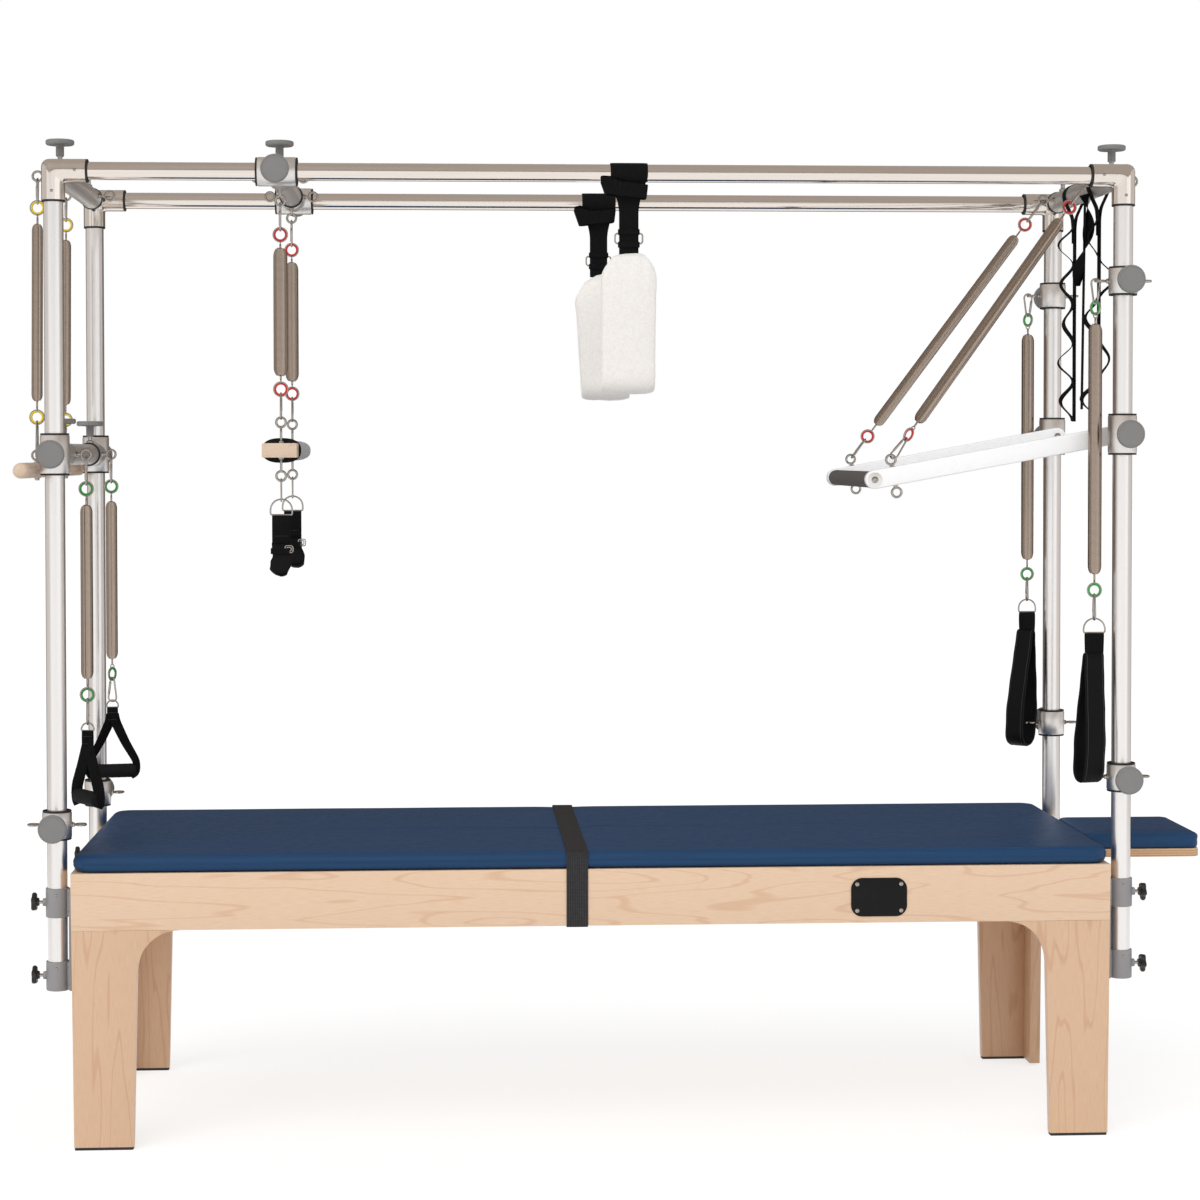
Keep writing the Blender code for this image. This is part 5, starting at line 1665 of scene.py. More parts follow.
@dataclass
class Spring:
    """A close-wound extension spring with a snap hook and a coloured ring at each end.

    The real wire is 1.6 mm thick. It is drawn at 2.4 mm, because a finer one doesn't show.
    """

    name: str
    node: str
    body: str
    top: Vector
    bottom: Vector
    radius: float
    flats: tuple[Vector, Vector]
    ring: Finish
    hooks: tuple[float, float] = (0.060, 0.060)
    span: Optional[tuple[str, str, Vector, Vector]] = None
    twists: tuple[float, float] = (0.0, 0.0)
    gap: float = 0.042
    pitch: float = 0.0024
    wire: float = 0.0021
    ring_radius: float = 0.0153
    ring_wire: float = 0.0016

    def link(self, shape: Shape, top: Vector, down: Vector, flat: Vector, length: float) -> None:
        """Add a pear-shaped snap hook with a sprung gate.

        Args:
            shape: The shape that takes it.
            top: Its outer, wide end.
            down: The direction from that end to the spring.
            flat: The direction square to its plane.
            length: Its length.
        """
        side = down.cross(flat).normalized()
        wide, narrow = 0.0092, 0.0040
        high, low = self.wire + wide, length - self.wire - narrow
        lean = math.degrees(math.acos((wide - narrow) / (low - high)))
        pairs = arc((high, 0.0), wide, lean, 360 - lean, 14) + arc((low, 0.0), narrow, -lean, lean, 8)
        shape.tube([top + down * a + side * b for a, b in pairs], self.wire, CHROME, 10, closed=True)
        first = top + down * (high + 0.004) + side * (wide - 0.0004)
        last = top + down * (low - 0.006) + side * (narrow + 0.0006)
        shape.rod(first.lerp(last, 0.12), last, self.wire * 1.35, CHROME, 12)

    def coil(self, low: float, high: float) -> Shape:
        """Return the wound wire, drawn in at both ends.

        Args:
            low: How far from the top it starts.
            high: How far from the top it ends.

        Returns:
            The shape.
        """
        down = (self.bottom - self.top).normalized()
        first = down.orthogonal().normalized()
        second = down.cross(first)
        turns = (high - low) / self.pitch
        steps = max(8, round(turns * 14))
        taper, half = self.radius * 1.2, self.pitch / 2
        bulge = ((-1.0, -0.0010), (-0.86, -0.0001), (0.0, 0.0), (0.86, -0.0001), (1.0, -0.0010))
        section = [(half * a, b) for a, b in bulge]
        rings = []
        for k in range(steps + 1):
            along = low + (high - low) * k / steps
            near = min(along - low, high - along) / taper
            share = 1.0 if near >= 1 else 0.40 + 0.60 * math.sqrt(max(0.0, 1 - (1 - near) ** 2))
            angle = 2 * math.pi * turns * k / steps
            spoke = first * math.cos(angle) + second * math.sin(angle)
            size = self.radius * share
            rings.append([self.top + down * (along + a) + spoke * (size + b) for a, b in section])
        shape = Shape()
        shape.skin(rings, SPRING_WIRE)
        return shape

    def make(self) -> None:
        """Make the coil, its chrome fittings and its coloured rings."""
        down = (self.bottom - self.top).normalized()
        total = (self.bottom - self.top).length
        coil = self.coil(self.hooks[0] + self.gap, total - self.hooks[1] - self.gap)
        metal, colour = Shape(), Shape()
        ends = zip((self.top, self.bottom), (down, -down), self.flats, self.hooks, self.twists)
        for place, inward, flat, hook, twist in ends:
            self.link(metal, place, inward, flat, hook)
            centre = place + inward * (hook - 2 * self.wire + self.ring_radius - 0.0046)
            axis = (inward.cross(flat) * math.cos(twist) + flat * math.sin(twist)).normalized()
            metal.hoop(centre, axis, self.ring_radius, self.ring_wire, CHROME)
            colour.hoop(centre, axis, self.ring_radius - self.ring_wire - 0.0014, 0.0023, self.ring)
            neck = centre + inward * self.ring_radius
            stop = place + inward * (hook + self.gap)
            metal.hoop(neck + inward * 0.0022, flat, 0.0042, 0.0013, CHROME, 18)
            metal.rod(neck + inward * 0.005, stop + inward * 0.004, 0.0022, SPRING_WIRE, 12)
            cap = [(0.002, -0.0016), (self.radius * 0.30, -0.0010), (self.radius * 0.40, 0.0006)]
            metal.lathe(cap + [(self.radius * 0.36, 0.004), (0.002, 0.004)], inward, stop, SPRING_WIRE, 20)
        Build(self.name + "_coil", self.body, "steel", (self.node,), sharp=35, span=self.span).make(coil)
        Build(self.name + "_hooks", self.body, "chrome", span=self.span).make(metal)
        Build(self.name + "_rings", self.body, "steel", span=self.span).make(colour)


@dataclass
class RollBar:
    """The turned wooden roll-down bar with its eye bolts and two light springs."""

    x: float = -1.200
    z: float = 1.440
    radius: float = 0.0165
    length: float = 0.900

    def make(self) -> None:
        """Make the bar, its bolts and its springs."""
        shape, fittings = Shape(), Fittings()
        radius = self.radius
        lip = [(0.001, 0.0), (radius * 0.45, 0.0012), (radius * 0.78, 0.0042), (radius * 0.95, 0.0095)]
        profile = ribbed(lip + [(radius, 0.016)], self.length, 24, 0.016, 0.0)
        shape.lathe(profile, Y, spot(self.x, -self.length / 2, self.z), BEECH, 40)
        Build("roll_dowel", "roll_bar", "beech", ("roll_bar",), sharp=60).make(shape)
        for row in Row:
            middle = spot(self.x, row.value * EYE_Y, self.z)
            fittings.eye(middle, Z, Y, radius - 0.001, radius + 0.015)
            fittings.washer(middle, Z, radius - 0.002, radius + 0.0016, 0.0068)
            fittings.washer(middle, Z, -radius - 0.0014, 0.003 - radius, 0.0068)
            fittings.metal.nut(middle - Z * (radius + 0.0035), Z, 0.0095, 0.0044, CHROME)
        fittings.make("roll_bar", "roll_bar")
        for row in Row:
            name, node, y = "roll_light_" + row.label, "roll_spring_" + row.label, row.value * EYE_Y
            top, bottom = spot(-1.195, y, 2.0698), spot(-1.200, y, 1.4747)
            Spring(name, node, "roll_bar", top, bottom, 0.012, (X, X), RING_YELLOW, (0.058, 0.073)).make()


@dataclass
class TrapezeBar:
    """The wooden trapeze bar with its foam sleeve, bolts, D rings, ankle cuffs and springs."""

    z: float = 1.482
    length: float = 0.560
    width: float = 0.075
    thick: float = 0.031
    eye_up: float = 0.061
    eye_down: float = 0.0556

    def timber(self) -> None:
        """Make the bar, the oval foam sleeve round its middle and the sleeve's end caps."""
        shape = Shape()
        end, middle, steps = self.length / 2, (CARRIAGE_X - CENTRE_X, self.z), 24
        shape.slab(rounded(self.width / 2, self.thick / 2, 0.002, middle, 2), Axis.Y, -end, -0.196, BEECH)
        shape.slab(rounded(0.030, 0.014, 0.004, middle, 3), Axis.Y, -0.198, end - 0.006, BEECH)
        Build("trapeze_timber", "trapeze", "beech", ("trapeze_bar",), 0.001, 2).make(shape)
        for name, start, stop, sizes, finish in (
            ("trapeze_sleeve", -0.191, end, (0.082, 0.046), FOAM_GREY),
            ("trapeze_cap", -0.205, -0.191, (0.085, 0.054), FOAM_BLACK),
        ):
            foam = Shape()
            path = [spot(CARRIAGE_X, start + (stop - start) * k / steps, self.z) for k in range(steps + 1)]
            edges = [min(1.0, min(k, steps - k) / 3) for k in range(steps + 1)]
            shares = [0.90 + 0.10 * math.sqrt(1 - (1 - edge) ** 2) for edge in edges]
            widths, thicks = ([size * share for share in shares] for size in sizes)
            foam.strap(path, X, widths, thicks, finish, section=20, fullness=2.5)
            Build(name, "trapeze", "foam", sharp=60).make(foam)

    def cuff(self, row: Row, metal: Shape) -> None:
        """Make one ankle cuff: a hook, a D ring, a webbing tab and a padded band with a buckle.

        Args:
            row: The cuff's side of the table.
            metal: The shape that takes the hook, D ring and buckle.
        """
        x, y = CARRIAGE_X, row.value * EYE_Y
        hook = self.z - self.eye_down - 0.0045
        low = hook - 0.051
        pairs = arc((0.0, hook - 0.0070), 0.0052, 180, 0, 8) + arc((0.0, low + 0.0040), 0.0032, 0, -180, 8)
        metal.tube([spot(x, y + b, z) for b, z in pairs], 0.0017, CHROME, 10, closed=True)
        d_ring(metal, lambda a, z: spot(x + a, y, z), low + HANG, 0.0235, 0.034)
        bar = low + HANG - 0.034
        tab_end = bar - 0.072
        web, pad = Shape(), Shape()
        tab = fold(x, y, [(0.0030, tab_end), (0.0030, bar - 0.006), (0.0, bar + 0.0026)], 0.004)
        web.strap(tab, X, 0.0405, 0.0024, WEBBING)
        web.tube([spot(x + a, y - 0.0046, bar - 0.046) for a in (-0.014, 0.0, 0.014)], 0.0005, THREAD_DARK, 5)
        top, bottom, deep = tab_end + 0.012, tab_end - 0.060, 0.017
        rise = [(deep * 1.02, top - 0.028), (deep * 0.72, top - 0.008)]
        pairs = arc((0.0, bottom + deep), deep, 180, 360, 14) + rise + [(0.0, top)]
        pairs += [(-b, z) for b, z in reversed(rise)]
        line = soften(even([spot(x, y + b, z) for b, z in pairs], 0.004, True), 3, True)
        line = [p + X * (0.0035 * math.sin((p.z - bottom) * 60 + row.value)) for p in line]
        narrow = [0.006 * max(0.0, (bottom + 0.02 - p.z) / 0.02) for p in line]
        widths = [0.0435 - less + 0.0015 * math.sin(p.z * 210) for p, less in zip(line, narrow)]
        pad.strap(line, X, widths, 0.0062, CUFF_VINYL, closed=True, section=14, fullness=3.6)

        def slump(point: Vector) -> Vector:
            """Round the band's lower corners and lean it a little.

            Args:
                point: A point of the band.

            Returns:
                Its new place.
            """
            a = (point.x - x + CENTRE_X) / 0.0217
            low = max(0.0, (bottom + 0.050 - point.z) / 0.050)
            return point + Vector((0.004 * low * row.value, 0.0, low * (0.010 * min(1.0, a * a) - 0.004 * a)))

        Build("ankle_cuff_" + row.label, "trapeze", "black", sharp=60).make(pad, slump)
        for offset in (-0.43, 0.43):
            seam = [p + X * wide * offset for p, wide in zip(line, widths)]
            seam = [slump(p - run.cross(X) * 0.0033) for p, run in zip(seam, headings(line, True))]
            web.tube(seam, 0.0009, THREAD, 5, closed=True)
        keeper = rounded(0.0214, 0.0050, 0.003, (x, y - deep - 0.0005), 4)
        keeper = even([spot(a, b, top - 0.018) for a, b in keeper], 0.003, True)
        web.strap(keeper, Z, 0.013, 0.0018, WEBBING, closed=True)
        edge = 0.0225 if row is Row.REAR else 0.0175
        for size in (0.0085, 0.0045):
            ring = rounded(size, size * 0.9, size * 0.5, (x + edge, top - 0.014), 4)
            metal.tube([spot(a, y - deep - 0.0050, z) for a, z in ring], 0.0013, CHROME, 8, closed=True)
        Build("cuff_straps_" + row.label, "trapeze", "webbing", sharp=50).make(web)

    def make(self) -> None:
        """Make the bar with everything that hangs on it."""
        self.timber()
        fittings = Fittings()
        start = self.thick / 2 - 0.001
        for row in Row:
            middle = spot(CARRIAGE_X, row.value * EYE_Y, self.z)
            for way, reach in ((Z, self.eye_up), (-Z, self.eye_down)):
                fittings.eye(middle, way, Y, start, reach)
                fittings.washer(middle, way, start, start + 0.0025, 0.0070)
            self.cuff(row, fittings.metal)
        fittings.make("trapeze", "trapeze")
        for row in Row:
            name, node, y = "trapeze_heavy_" + row.label, "trapeze_spring_" + row.label, row.value * EYE_Y
            top, bottom = spot(CARRIAGE_X, y, 2.0198), spot(CARRIAGE_X, y, self.z + self.eye_up + HANG)
            hooks = (0.064, 0.060)
            Spring(name, node, "trapeze", top, bottom, 0.0155, (X, X), RING_RED, hooks, gap=0.036).make()


@dataclass
class HandLoop:
    """A hand loop on its long spring: D ring, webbing that twists to its sides and a foam grip."""

    row: Row
    x: float = -1.095
    top: float = 1.4708
    half: float = 0.056
    web: float = 0.025
    grip: float = 0.0162

    @property
    def low(self) -> float:
        """Return the height of the lower hook's outer end."""
        return 0.8865 if self.row is Row.FRONT else 0.8960

    def at(self, a: float, b: float, z: float) -> Vector:
        """Return a point of the loop.

        Args:
            a: How far it is along the grip.
            b: How far it is square to the grip.
            z: Its height.

        Returns:
            The point.
        """
        turn = math.radians(-57 if self.row is Row.FRONT else 10)
        c, s = math.cos(turn), math.sin(turn)
        return spot(self.x + a * c - b * s, self.row.value * EYE_Y + a * s + b * c, z)

    def make(self) -> None:
        """Make the spring, the D ring, the webbing and the grip."""
        label, y, front = self.row.label, self.row.value * EYE_Y, self.row is Row.FRONT
        name, node, body = "hand_long_" + label, "hand_spring_" + label, "hand_loop_" + label
        top, bottom = spot(self.x, y, self.top), spot(self.x, y, self.low)
        flats, twists = ((X, X), (0.0, 0.0)) if front else ((X, Y), (0.0, 0.5))
        hooks = (0.065, 0.060)
        Spring(name, node, body, top, bottom, 0.0135, flats, RING_GREEN, hooks, twists=twists).make()
        origin = self.at(0, 0, 0)
        out, side = self.at(0, 1, 0) - origin, self.at(1, 0, 0) - origin
        ring_top, grip_z = self.low + HANG, 0.729 if front else 0.736
        bar = ring_top - 0.017
        metal, web, grip = Shape(), Shape(), Shape()
        d_ring(metal, lambda a, z: spot(self.x + a, y, z), ring_top, 0.0135, 0.017)
        Build("hand_ring_" + label, body, "chrome").make(metal)
        tab = fold(self.x, y, [(0.0034, bar - 0.034), (0.0032, bar - 0.005), (0.0, bar + 0.0028)], 0.003)
        web.strap(tab, X, self.web, 0.0024, WEBBING)
        reach = self.half
        places = [(0.003, bar - 0.016), (0.006, bar - 0.032), (reach * 0.52, (bar + grip_z) / 2 - 0.008)]
        places += [(reach * 0.97, grip_z + 0.022), (reach, grip_z + 0.006), (reach - 0.002, grip_z - 0.010)]
        places += [(reach - 0.013, grip_z - 0.0165)]
        for sign in (-1, 1):
            line = soften(even([self.at(sign * a, 0, z) for a, z in places], 0.004), 6)
            sides = []
            for share in (min(1.0, k / len(line) * 1.25) for k in range(len(line))):
                sides.append((side * (1.0 - 0.35 * share) + out * (0.35 + 0.40 * share)).normalized() * sign)
            web.strap(line, sides, self.web, 0.0030, WEBBING)
        for level in (-0.012, -0.028):
            start = spot(self.x - self.web / 2 + 0.003, y - 0.0052, bar + level)
            web.rod(start, start + X * (self.web - 0.006), 0.0005, THREAD_DARK, 6)
        Build("hand_webbing_" + label, body, "webbing", sharp=50).make(web)
        length, radius = self.half * 2 - 0.006, self.grip
        lip = [(0.004, 0.0), (radius - 0.005, 0.0), (radius - 0.0018, 0.0014), (radius, 0.005)]
        grip.lathe(ribbed(lip, length, 16), side, self.at(-length / 2, 0, grip_z), FOAM_BLACK, 36)
        Build("hand_grip_" + label, body, "foam", sharp=60).make(grip)


@dataclass
class FootLoop:
    """A padded foot loop on its long spring, turned a little on its hook as it hangs."""

    row: Row
    x: float = 1.085
    width: float = 0.048

    @property
    def high(self) -> float:
        """Return the height of the collar that carries the spring."""
        return 1.846 if self.row is Row.FRONT else 1.853

    @property
    def low(self) -> float:
        """Return the height of the lower hook's outer end."""
        return 1.1110 if self.row is Row.FRONT else 1.1160

    def make(self) -> None:
        """Make the spring, the D ring, the webbing neck and the padded loop."""
        label, y, front = self.row.label, self.row.value * POST_Y, self.row is Row.FRONT
        name, node, body = "foot_long_" + label, "foot_spring_" + label, "foot_loop_" + label
        start, end = spot(self.x, y, self.high + 0.0068), spot(self.x, y, self.low)
        flats, hooks = (Vector((0.45, 1, 0)).normalized(), X), (0.058, 0.060)
        Spring(name, node, body, start, end, 0.0150, flats, RING_GREEN, hooks, twists=(0.95, 0.0)).make()
        ring, half_ring, turn, drift = (0.031, 0.0235, 104, 0.0) if front else (0.030, 0.0205, 46, -0.004)
        strap, bottom, half = (0.0420, 0.7604, 0.029) if front else (0.0380, 0.7675, 0.033)
        top = self.low + HANG
        bar = top - ring
        c, s = math.cos(math.radians(turn)), math.sin(math.radians(turn))
        out = Vector((s, -c, 0.0))

        def at(a: float, z: float) -> Vector:
            """Return a point of the loop, which leans as it hangs.

            Args:
                a: How far it is from the middle, from layer to layer.
                z: Its height.

            Returns:
                The point.
            """
            drop = min(0.0, z - bar) * 0.05
            return spot(self.x + a * c + drop + drift * (bar - z) / 0.3, y + a * s + drop, z)

        metal, web, pad = Shape(), Shape(), Shape()
        d_ring(metal, lambda a, z: spot(self.x + a, y, z), top, half_ring, ring)
        Build("foot_ring_" + label, body, "chrome").make(metal)
        neck = fold(self.x, y, [(0.0030, bar - 0.060), (0.0032, bar - 0.006), (0.0, bar + 0.0028)], 0.004)
        shares = [max(0.0, min(1.0, (bar - p.z) / 0.06)) for p in neck]
        turns = [(X * (1 - share) + out * share).normalized() for share in shares]
        web.strap(neck, turns, strap, 0.0024, WEBBING)
        high = bar - 0.040
        rise = [(half * 0.93, bottom + half + 0.060), (half * 0.62, bottom + half + 0.135)]
        rise += [(half * 0.22, high - 0.035), (0.0055, high - 0.006)]
        pairs = arc((0.0, bottom + half), half - 0.004, 180, 360, 18) + rise + [(0.0, high)]
        pairs += [(-a, z) for a, z in reversed(rise)]
        line = soften(even([at(a, z) for a, z in pairs], 0.005, True), 5, True)
        shares = [max(0.0, (p.z - bottom) / (high - bottom)) for p in line]
        widths = [self.width * (1 - 0.04 * a) + 0.0008 * math.sin(p.z * 90) for p, a in zip(line, shares)]
        thicks = [0.0085 - 0.0030 * share for share in shares]
        pad.strap(line, out, widths, thicks, CUFF_VINYL, closed=True, section=14, fullness=4.0)
        Build("foot_pad_" + label, body, "black", sharp=60).make(pad)
        faces = [run.cross(out) * thick * 0.45 for run, thick in zip(headings(line, True), thicks)]
        for offset in (-0.40, 0.40):
            seam = [p + out * wide * offset + face for p, wide, face in zip(line, widths, faces)]
            web.tube(seam, 0.0006, THREAD_DARK, 5, closed=True)
        Build("foot_webbing_" + label, body, "webbing", sharp=50).make(web)


@dataclass
class Sling:
    """A fleece sling: a soft padded loop drawn in at its top on webbing over the rail."""

    row: Row
    x: float
    top: float = 1.908
    bottom: float = 1.598
    width: float = 0.120
    depth: float = 0.066
    layer: float = 0.022
    strap: float = 0.044

    def fleece(self, body: str, y: float) -> None:
        """Make the fleece.

        Args:
            body: The body that it rides on.
            y: The rail's place across the table.
        """
        inner = (self.depth - self.layer) / 2
        rise = [(inner * 1.02, 0.13), (inner * 0.85, 0.060), (inner * 0.50, 0.022), (inner * 0.25, 0.010)]
        pairs = arc((y, self.bottom + self.depth / 2), inner, 180, 360, 16)
        pairs += [(y + b, self.top - d) for b, d in rise] + [(y - b, self.top - d) for b, d in reversed(rise)]
        line = soften(even([spot(self.x, b, z) for b, z in pairs], 0.006, True), 5, True)
        widths, thicks = [], []
        for drop in ((self.top - p.z) / (self.top - self.bottom) for p in line):
            flare = 0.34 + 0.66 * (1 - (1 - min(1.0, max(0.0, drop) / 0.22)) ** 2.6) - 0.04 * drop
            widths.append(self.width * flare)
            thicks.append(self.layer * (0.72 + 0.28 * flare))
        shape = Shape()
        shape.strap(line, X, widths, thicks, WOOL, closed=True, section=24, fullness=2.8)
        centre = spot(self.x, y, (self.top + self.bottom) / 2)
        lean, sag = (0.055, 0.55) if self.row is Row.REAR else (-0.01, 0.12)

        def curls(point: Vector) -> Vector:
            """Raise the wool in soft tufts, and gather it towards the top.

            Args:
                point: A point of the fleece.

            Returns:
                Its new place.
            """
            away = (point - centre).normalized()
            tuft = noise.noise(point * 110) * 0.0006 + noise.noise(point * 30 + Vector((3, 1, 7))) * 0.0014
            gather = max(0.0, (point.z - (self.top - 0.10)) / 0.10)
            crease = math.sin((point.x - centre.x) * 260) * 0.0016 * gather
            slope = max(0.0, centre.x - point.x) * gather * sag
            return point + away * (tuft - 0.0012) + Vector(((self.top - point.z) * lean, crease, -slope))

        piece = Build("fleece_" + self.row.label, body, "fleece", (body,), sharp=80).make(shape, curls)

    def webbing(self, body: str, y: float) -> None:
        """Make the webbing over the rail and its ring.

        Args:
            body: The body that they ride on.
            y: The rail's place across the table.
        """
        web, metal = Shape(), Shape()
        legs = [(0.0075, RAIL_Z - 0.042), (0.0045, RAIL_Z - 0.075), (0.0040, self.top - 0.012)]
        pairs = arc((y, RAIL_Z), 0.019 + 0.0024, 225, -45, 18)
        pairs += [(y + b, z) for b, z in legs] + [(y - b, z) for b, z in reversed(legs)]
        line = soften(even([spot(self.x, b, z) for b, z in pairs], 0.004, True), 2, True)
        narrow, wide = self.strap * 0.94, 0.080
        shares = [max(0.0, min(1.0, (p.z - (RAIL_Z - 0.085)) / 0.075)) for p in line]
        widths = [narrow + (wide - narrow) * share**1.6 for share in shares]
        web.strap(line, X, widths, 0.0028, WEBBING, closed=True)
        for level, size in ((self.top + 0.013, 0.0080), (self.top + 0.040, 0.0075)):
            wrap = [spot(a, b, level) for a, b in rounded(self.strap / 2, size, 0.004, (self.x, y), 4)]
            web.strap(wrap, Z, 0.012, 0.0024, WEBBING, closed=True)
        band, tilt = RAIL_Z - 0.036, 0.10 * self.row.value
        pairs = rounded(0.041, 0.0215, 0.010, steps=5)
        wrap = [spot(self.x - 0.003 + a, y + b, band + tilt * a) for a, b in pairs]
        web.strap(even(wrap, 0.005, True), Vector((0.12, 0, 1)), 0.030, 0.0026, WEBBING, closed=True)

        def flap(point: Vector) -> Vector:
            """Pull the turned-over end of the webbing out to the left at its top.

            Args:
                point: A point of the webbing.

            Returns:
                Its new place.
            """
            left = self.x - CENTRE_X - 0.020 - point.x
            rise = point.z - (band - 0.018)
            return point - Vector((0.55 * rise, 0, -0.25 * rise)) if left > 0 and 0 < rise < 0.040 else point

        Build("sling_webbing_" + self.row.label, body, "webbing", sharp=50).make(web, flap)
        for side in (-1, 1):
            middle = (self.x + side * (self.strap / 2 + 0.0005), self.top + 0.026)
            ring = [spot(a, y, z) for a, z in rounded(0.0070, 0.0110, 0.006, middle, 5)]
            metal.tube(ring, 0.0018, CHROME, 10, closed=True)
        Build("sling_ring_" + self.row.label, body, "chrome").make(metal)

    def make(self) -> None:
        """Make the whole sling."""
        self.fleece("sling_" + self.row.label, self.row.value * POST_Y)
        self.webbing("sling_" + self.row.label, self.row.value * POST_Y)


@dataclass
class SafetyStrap:
    """A safety strap of webbing over the right end bar, sewn into a chain of loops."""

    row: Row
    side: float = 0.115
    width: float = 0.030
    bottom: float = 1.545
    depth: float = 0.036
    loops: int = 5
    thick: float = 0.0020

    def tangle(self, shape: Shape, y: float) -> None:
        """Add the front strap's twisted ribbon and its tail.

        Args:
            shape: The shape that takes them.
            y: The strap's place across the table.
        """
        path, turns = [], []
        for share in (k / 48 for k in range(49)):
            twist = 2.2 * math.pi * share + 0.3
            x = POST_X - 0.030 + 0.012 * math.sin(5 * share)
            path.append(spot(x, y + 0.012 + 0.010 * share, RAIL_Z - 0.018 - 0.205 * share))
            turns.append(Vector((math.cos(twist), math.sin(twist), 0.0)))
        shape.strap(path, turns, self.width - 0.004, self.thick, WEBBING)
        tail = [spot(POST_X - 0.026 - 0.006 * k / 8, y + 0.020, RAIL_Z - 0.020 - 0.060 * k) for k in range(9)]
        shape.strap(soften(even(tail, 0.010), 2), Y, self.width - 0.010, self.thick, WEBBING)

    def make(self) -> None:
        """Make the straight strap, the loops sewn to it and the stitches."""
        body = "safety_strap_" + self.row.label
        shape = Shape()
        y, over = self.row.value * self.side, BAR_RADIUS + 0.0019
        main = arc((POST_X, RAIL_Z), over, 215, -35, 16)
        main += [(POST_X + 0.0045, RAIL_Z - 0.050), (POST_X + 0.0015, RAIL_Z - 0.075)]
        main += [(POST_X + 0.0012, self.bottom + 0.20), (POST_X + 0.0014, self.bottom + 0.003)]
        back = [(POST_X - over * 0.82, RAIL_Z - over * 0.58), (POST_X - 0.0045, RAIL_Z - 0.050)]
        back += [(POST_X - 0.0018, RAIL_Z - 0.078), (POST_X - 0.0016, RAIL_Z - 0.110)]
        for pairs, step, passes in ((main, 0.006, 2), (back, 0.005, 1)):
            line = soften(even([spot(x, y, z) for x, z in pairs], step), passes)
            shape.strap(line, Y, self.width, 0.0022, WEBBING)
        top = RAIL_Z - 0.070
        pitch = (top - self.bottom - 0.004) / self.loops
        wave, turns = [], []
        for share in (k / 16 for k in range(self.loops * 16 + 1)):
            tack = math.sin(math.pi * share) ** 2
            deep = self.depth * (0.80 + 0.20 * math.sin(int(share) * 2.1 + self.row.value))
            if self.row is Row.FRONT and int(share) % 2:
                tack = -tack
            x = POST_X - 0.0019 * (1 if tack >= 0 else -1.3) - deep * tack
            wave.append(spot(x, y, top - pitch * share))
            lean = Vector((0.10 * math.sin(share * 2.3), 1.0, 0.22 * math.sin(share * 1.7)))
            turns.append(lean.normalized())
        shape.strap(wave, turns, self.width - 0.004, self.thick, WEBBING)
        if self.row is Row.FRONT:
            self.tangle(shape, y)
        for k in range(1, self.loops):
            for offset in (-0.004, 0.004):
                start = spot(POST_X + 0.0030, y - self.width / 2 + 0.003, top - pitch * k + offset)
                shape.rod(start, start + Y * (self.width - 0.006), 0.0006, THREAD, 6)
        Build("daisy_strap_" + self.row.label, body, "webbing", (body,), sharp=50).make(shape)


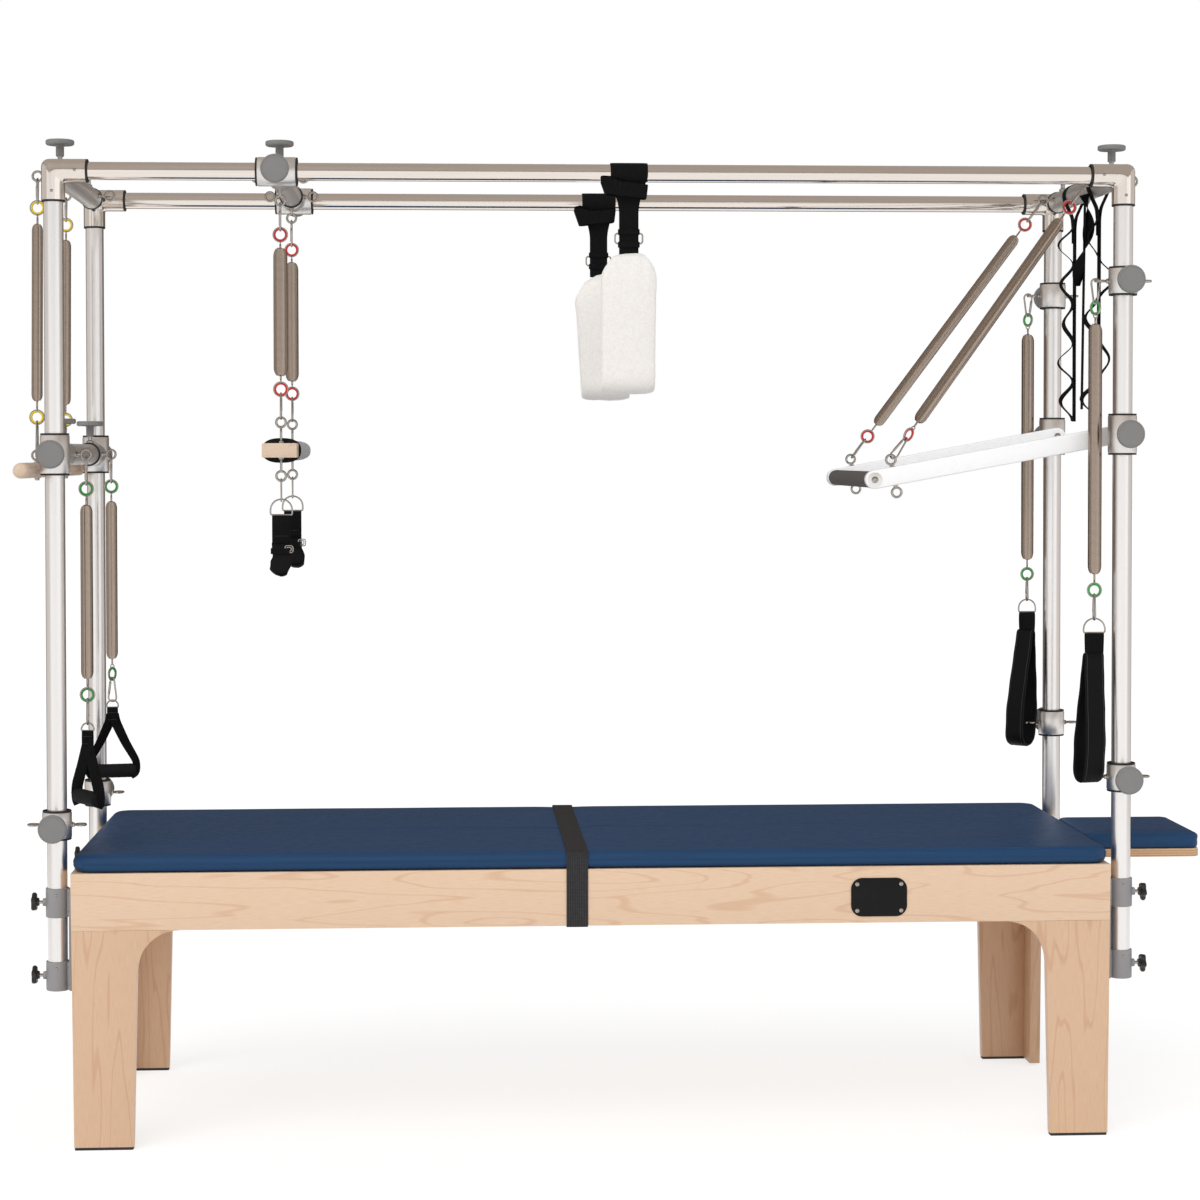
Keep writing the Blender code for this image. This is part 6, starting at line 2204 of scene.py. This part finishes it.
@dataclass
class Studio:
    """The camera, the soft light, the pale floor and the dark cards that metal reflects."""

    lens_px: float = 2635.72
    frame_px: float = 1200.0
    middle_px: tuple[float, float] = (587.96, 521.02)
    yaw: float = 3.13
    pitch: float = 1.46
    roll: float = -0.06
    place: tuple[float, float, float] = (-0.40197, -5.96863, 1.47388)
    reach: float = 60.0

    def camera(self) -> None:
        """Make the camera at the photograph's viewing angle."""
        data = bpy.data.cameras.new("camera")
        data.sensor_fit = "HORIZONTAL"
        data.sensor_width = 36.0
        data.lens = self.lens_px / self.frame_px * 36.0
        data.shift_x = (self.frame_px / 2 - self.middle_px[0]) / self.frame_px
        data.shift_y = (self.middle_px[1] - self.frame_px / 2) / self.frame_px
        yaw, pitch, roll = (math.radians(v) for v in (self.yaw, self.pitch, self.roll))
        ahead = Vector((math.sin(yaw) * math.cos(pitch), math.cos(yaw) * math.cos(pitch), -math.sin(pitch)))
        level = Vector((math.cos(yaw), -math.sin(yaw), 0.0))
        above = level.cross(ahead)
        right = level * math.cos(roll) + above * math.sin(roll)
        up = -level * math.sin(roll) + above * math.cos(roll)
        camera = bpy.data.objects.new("camera", data)
        turn = Matrix((right, up, -ahead)).transposed().to_4x4()
        camera.matrix_world = Matrix.Translation(self.place) @ turn
        bpy.context.scene.collection.objects.link(camera)
        bpy.context.scene.camera = camera

    def seen(self, tree: Tree, rays: Sequence[str]) -> Link:
        """Add the nodes that say whether a ray is of one of some kinds.

        Args:
            tree: The material's or world's node tree.
            rays: The Light Path outputs that count.

        Returns:
            One where it is, and nought elsewhere.
        """
        path = add_node(tree, "LightPath").outputs
        result = path[rays[0]]
        for ray in rays[1:]:
            result = add_node(tree, "Math", {0: result, 1: path[ray]}, operation="MAXIMUM")
        return result

    def world(self) -> None:
        """Make a plain light world that shows white behind the object."""
        world = bpy.data.worlds.new("studio")
        tree = empty_tree(world)
        seen = self.seen(tree, ("Is Camera Ray", "Is Glossy Ray", "Is Transmission Ray"))
        soft = add_node(tree, "Background", {"Color": linear("#FAFBFF"), "Strength": 0.62})
        white = add_node(tree, "Background", {"Color": (1.0, 1.0, 1.0, 1.0), "Strength": 1.0})
        mixed = add_node(tree, "MixShader", {0: seen, 1: soft, 2: white})
        add_node(tree, "OutputWorld", {"Surface": mixed})
        bpy.context.scene.world = world

    def lamp(self, name: str, aim: Point, strength: float, spread: float, colour: str) -> None:
        """Make a broad distant lamp.

        Args:
            name: The lamp's name.
            aim: The direction that its light goes.
            strength: Its strength.
            spread: The angle that it fills, in degrees.
            colour: Its colour.
        """
        data = bpy.data.lights.new(name, "SUN")
        data.energy = strength
        data.angle = math.radians(spread)
        data.color = linear(colour)[:3]
        lamp = bpy.data.objects.new(name, data)
        lamp.rotation_euler = Vector(aim).to_track_quat("-Z", "Y").to_euler()
        bpy.context.scene.collection.objects.link(lamp)

    def panel(
        self, name: str, corners: Sequence[Point], material: bpy.types.Material, hidden: Sequence[str] = ()
    ) -> None:
        """Make one flat face of the set.

        Args:
            name: Its name.
            corners: Its four corners.
            material: Its material.
            hidden: The kinds of ray that don't meet it.
        """
        mesh = bpy.data.meshes.new(name)
        mesh.from_pydata(list(corners), [], [(0, 1, 2, 3)])
        mesh.materials.append(material)
        panel = bpy.data.objects.new(name, mesh)
        for ray in hidden:
            setattr(panel, "visible_" + ray, False)
        bpy.context.scene.collection.objects.link(panel)

    def card(self, name: str, corners: Sequence[Point], colour: str) -> None:
        """Make a dark card outside the view, which only shiny metal shows.

        Args:
            name: The card's name.
            corners: Its four corners.
            colour: Its colour.
        """
        material = bpy.data.materials.new(name)
        tree = empty_tree(material)
        shade = add_node(tree, "Emission", {"Color": linear(colour), "Strength": 1.0})
        add_node(tree, "OutputMaterial", {"Surface": shade})
        self.panel(name, corners, material, ("camera", "diffuse", "shadow", "transmission"))

    def floor(self) -> None:
        """Make the pale matt floor, which keeps the object's soft shadow."""
        material = bpy.data.materials.new("floor_matt_paper")
        tree = empty_tree(material)
        seen = self.seen(tree, ("Is Camera Ray", "Is Glossy Ray"))
        lift = add_node(tree, "Math", {0: seen, 1: 0.60}, operation="MULTIPLY")
        paper = add_node(tree, "BsdfDiffuse", {"Color": linear("#F6F5F3")})
        glow = add_node(tree, "Emission", {"Color": (1.0, 1.0, 1.0, 1.0), "Strength": 1.2})
        mixed = add_node(tree, "MixShader", {0: lift, 1: paper, 2: glow})
        add_node(tree, "OutputMaterial", {"Surface": mixed})
        far = self.reach
        self.panel("floor", [(-far, -far, 0), (far, -far, 0), (far, far, 0), (-far, far, 0)], material)

    def make(self) -> None:
        """Make the camera and the whole set."""
        bpy.context.scene.view_settings.view_transform = "Standard"
        self.camera()
        self.world()
        self.floor()
        self.lamp("key", (0.45, 0.75, -0.80), 1.35, 50.0, "#FFFDFA")
        self.lamp("fill", (-0.8, 0.45, -0.35), 0.35, 80.0, "#F7FAFF")
        for name, start, end, colour in (
            ("card_left", (-4.6, -2.4), (-4.6, 2.4), "#D6D1CD"),
            ("card_right", (4.6, -2.4), (4.6, 2.4), "#D6D1CD"),
            ("card_back", (-4.6, 2.6), (4.6, 2.6), "#6F6761"),
        ):
            self.card(name, [(*start, -0.2), (*end, -0.2), (*end, 4.0), (*start, 4.0)], colour)
        for name, near, far, colour in (
            ("card_above", -9.0, 2.6, "#B2A9A1"),
            ("card_edge", -12.0, -9.0, "#5A524B"),
        ):
            self.card(name, [(-9.0, near, 4.2), (9.0, near, 4.2), (9.0, far, 4.2), (-9.0, far, 4.2)], colour)


def push_springs(push: PushBar) -> None:
    """Make the two springs from the right end bar to the push bar.

    Args:
        push: The push bar.
    """
    for row in Row:
        eye, low = spot(POST_X - 0.050, row.value * EYE_Y, RAIL_Z), push.eye_centre(row)
        along = (low - eye).normalized()
        inset = along * 0.0023
        flat = along.cross(Y).normalized()
        other = (flat + Y).normalized() if row is Row.FRONT else flat
        start, end = eye + inset, low - inset
        name, node = "push_medium_" + row.label, "push_spring_" + row.label
        span = ("frame", "push_bar", start, end)
        Spring(name, node, "frame", start, end, 0.0135, (flat, other), RING_RED, (0.063, 0.059), span).make()


def main() -> None:
    """Build every sub-assembly in order and report each piece."""
    logging.basicConfig(level=logging.INFO, format="%(name)s: %(message)s")
    Studio().make()
    Table().make()
    HeadRest().make()
    Canopy().make()
    CrossBar("carriage", (CARRIAGE_X, RAIL_Z), X, 0.0193, ((X, Y), (-X, Y), (-Z, Y))).make()
    CrossBar("mid_bar", (-POST_X, MID_BAR_Z), Z, 0.0213, ((X, Y),)).make()
    for row, low_left, low_right in ((Row.FRONT, 0.687, 0.772), (Row.REAR, 0.6715, 0.823)):
        Collar("low_left", End.LEFT, row, low_left).make()
        Collar("high_right", End.RIGHT, row, FootLoop(row).high).make()
        Collar("low_right", End.RIGHT, row, low_right).make()
        Collar("push", End.RIGHT, row, PUSH_BAR_Z, 0.089, (), False).make()
    push = PushBar()
    push.make()
    push_springs(push)
    RollBar().make()
    TrapezeBar().make()
    for row in Row:
        HandLoop(row).make()
        FootLoop(row).make()
    Sling(Row.FRONT, 0.074).make()
    Sling(Row.REAR, 0.048).make()
    for row in Row:
        SafetyStrap(row).make()
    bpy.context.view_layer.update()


if __name__ == "__main__":
    main()
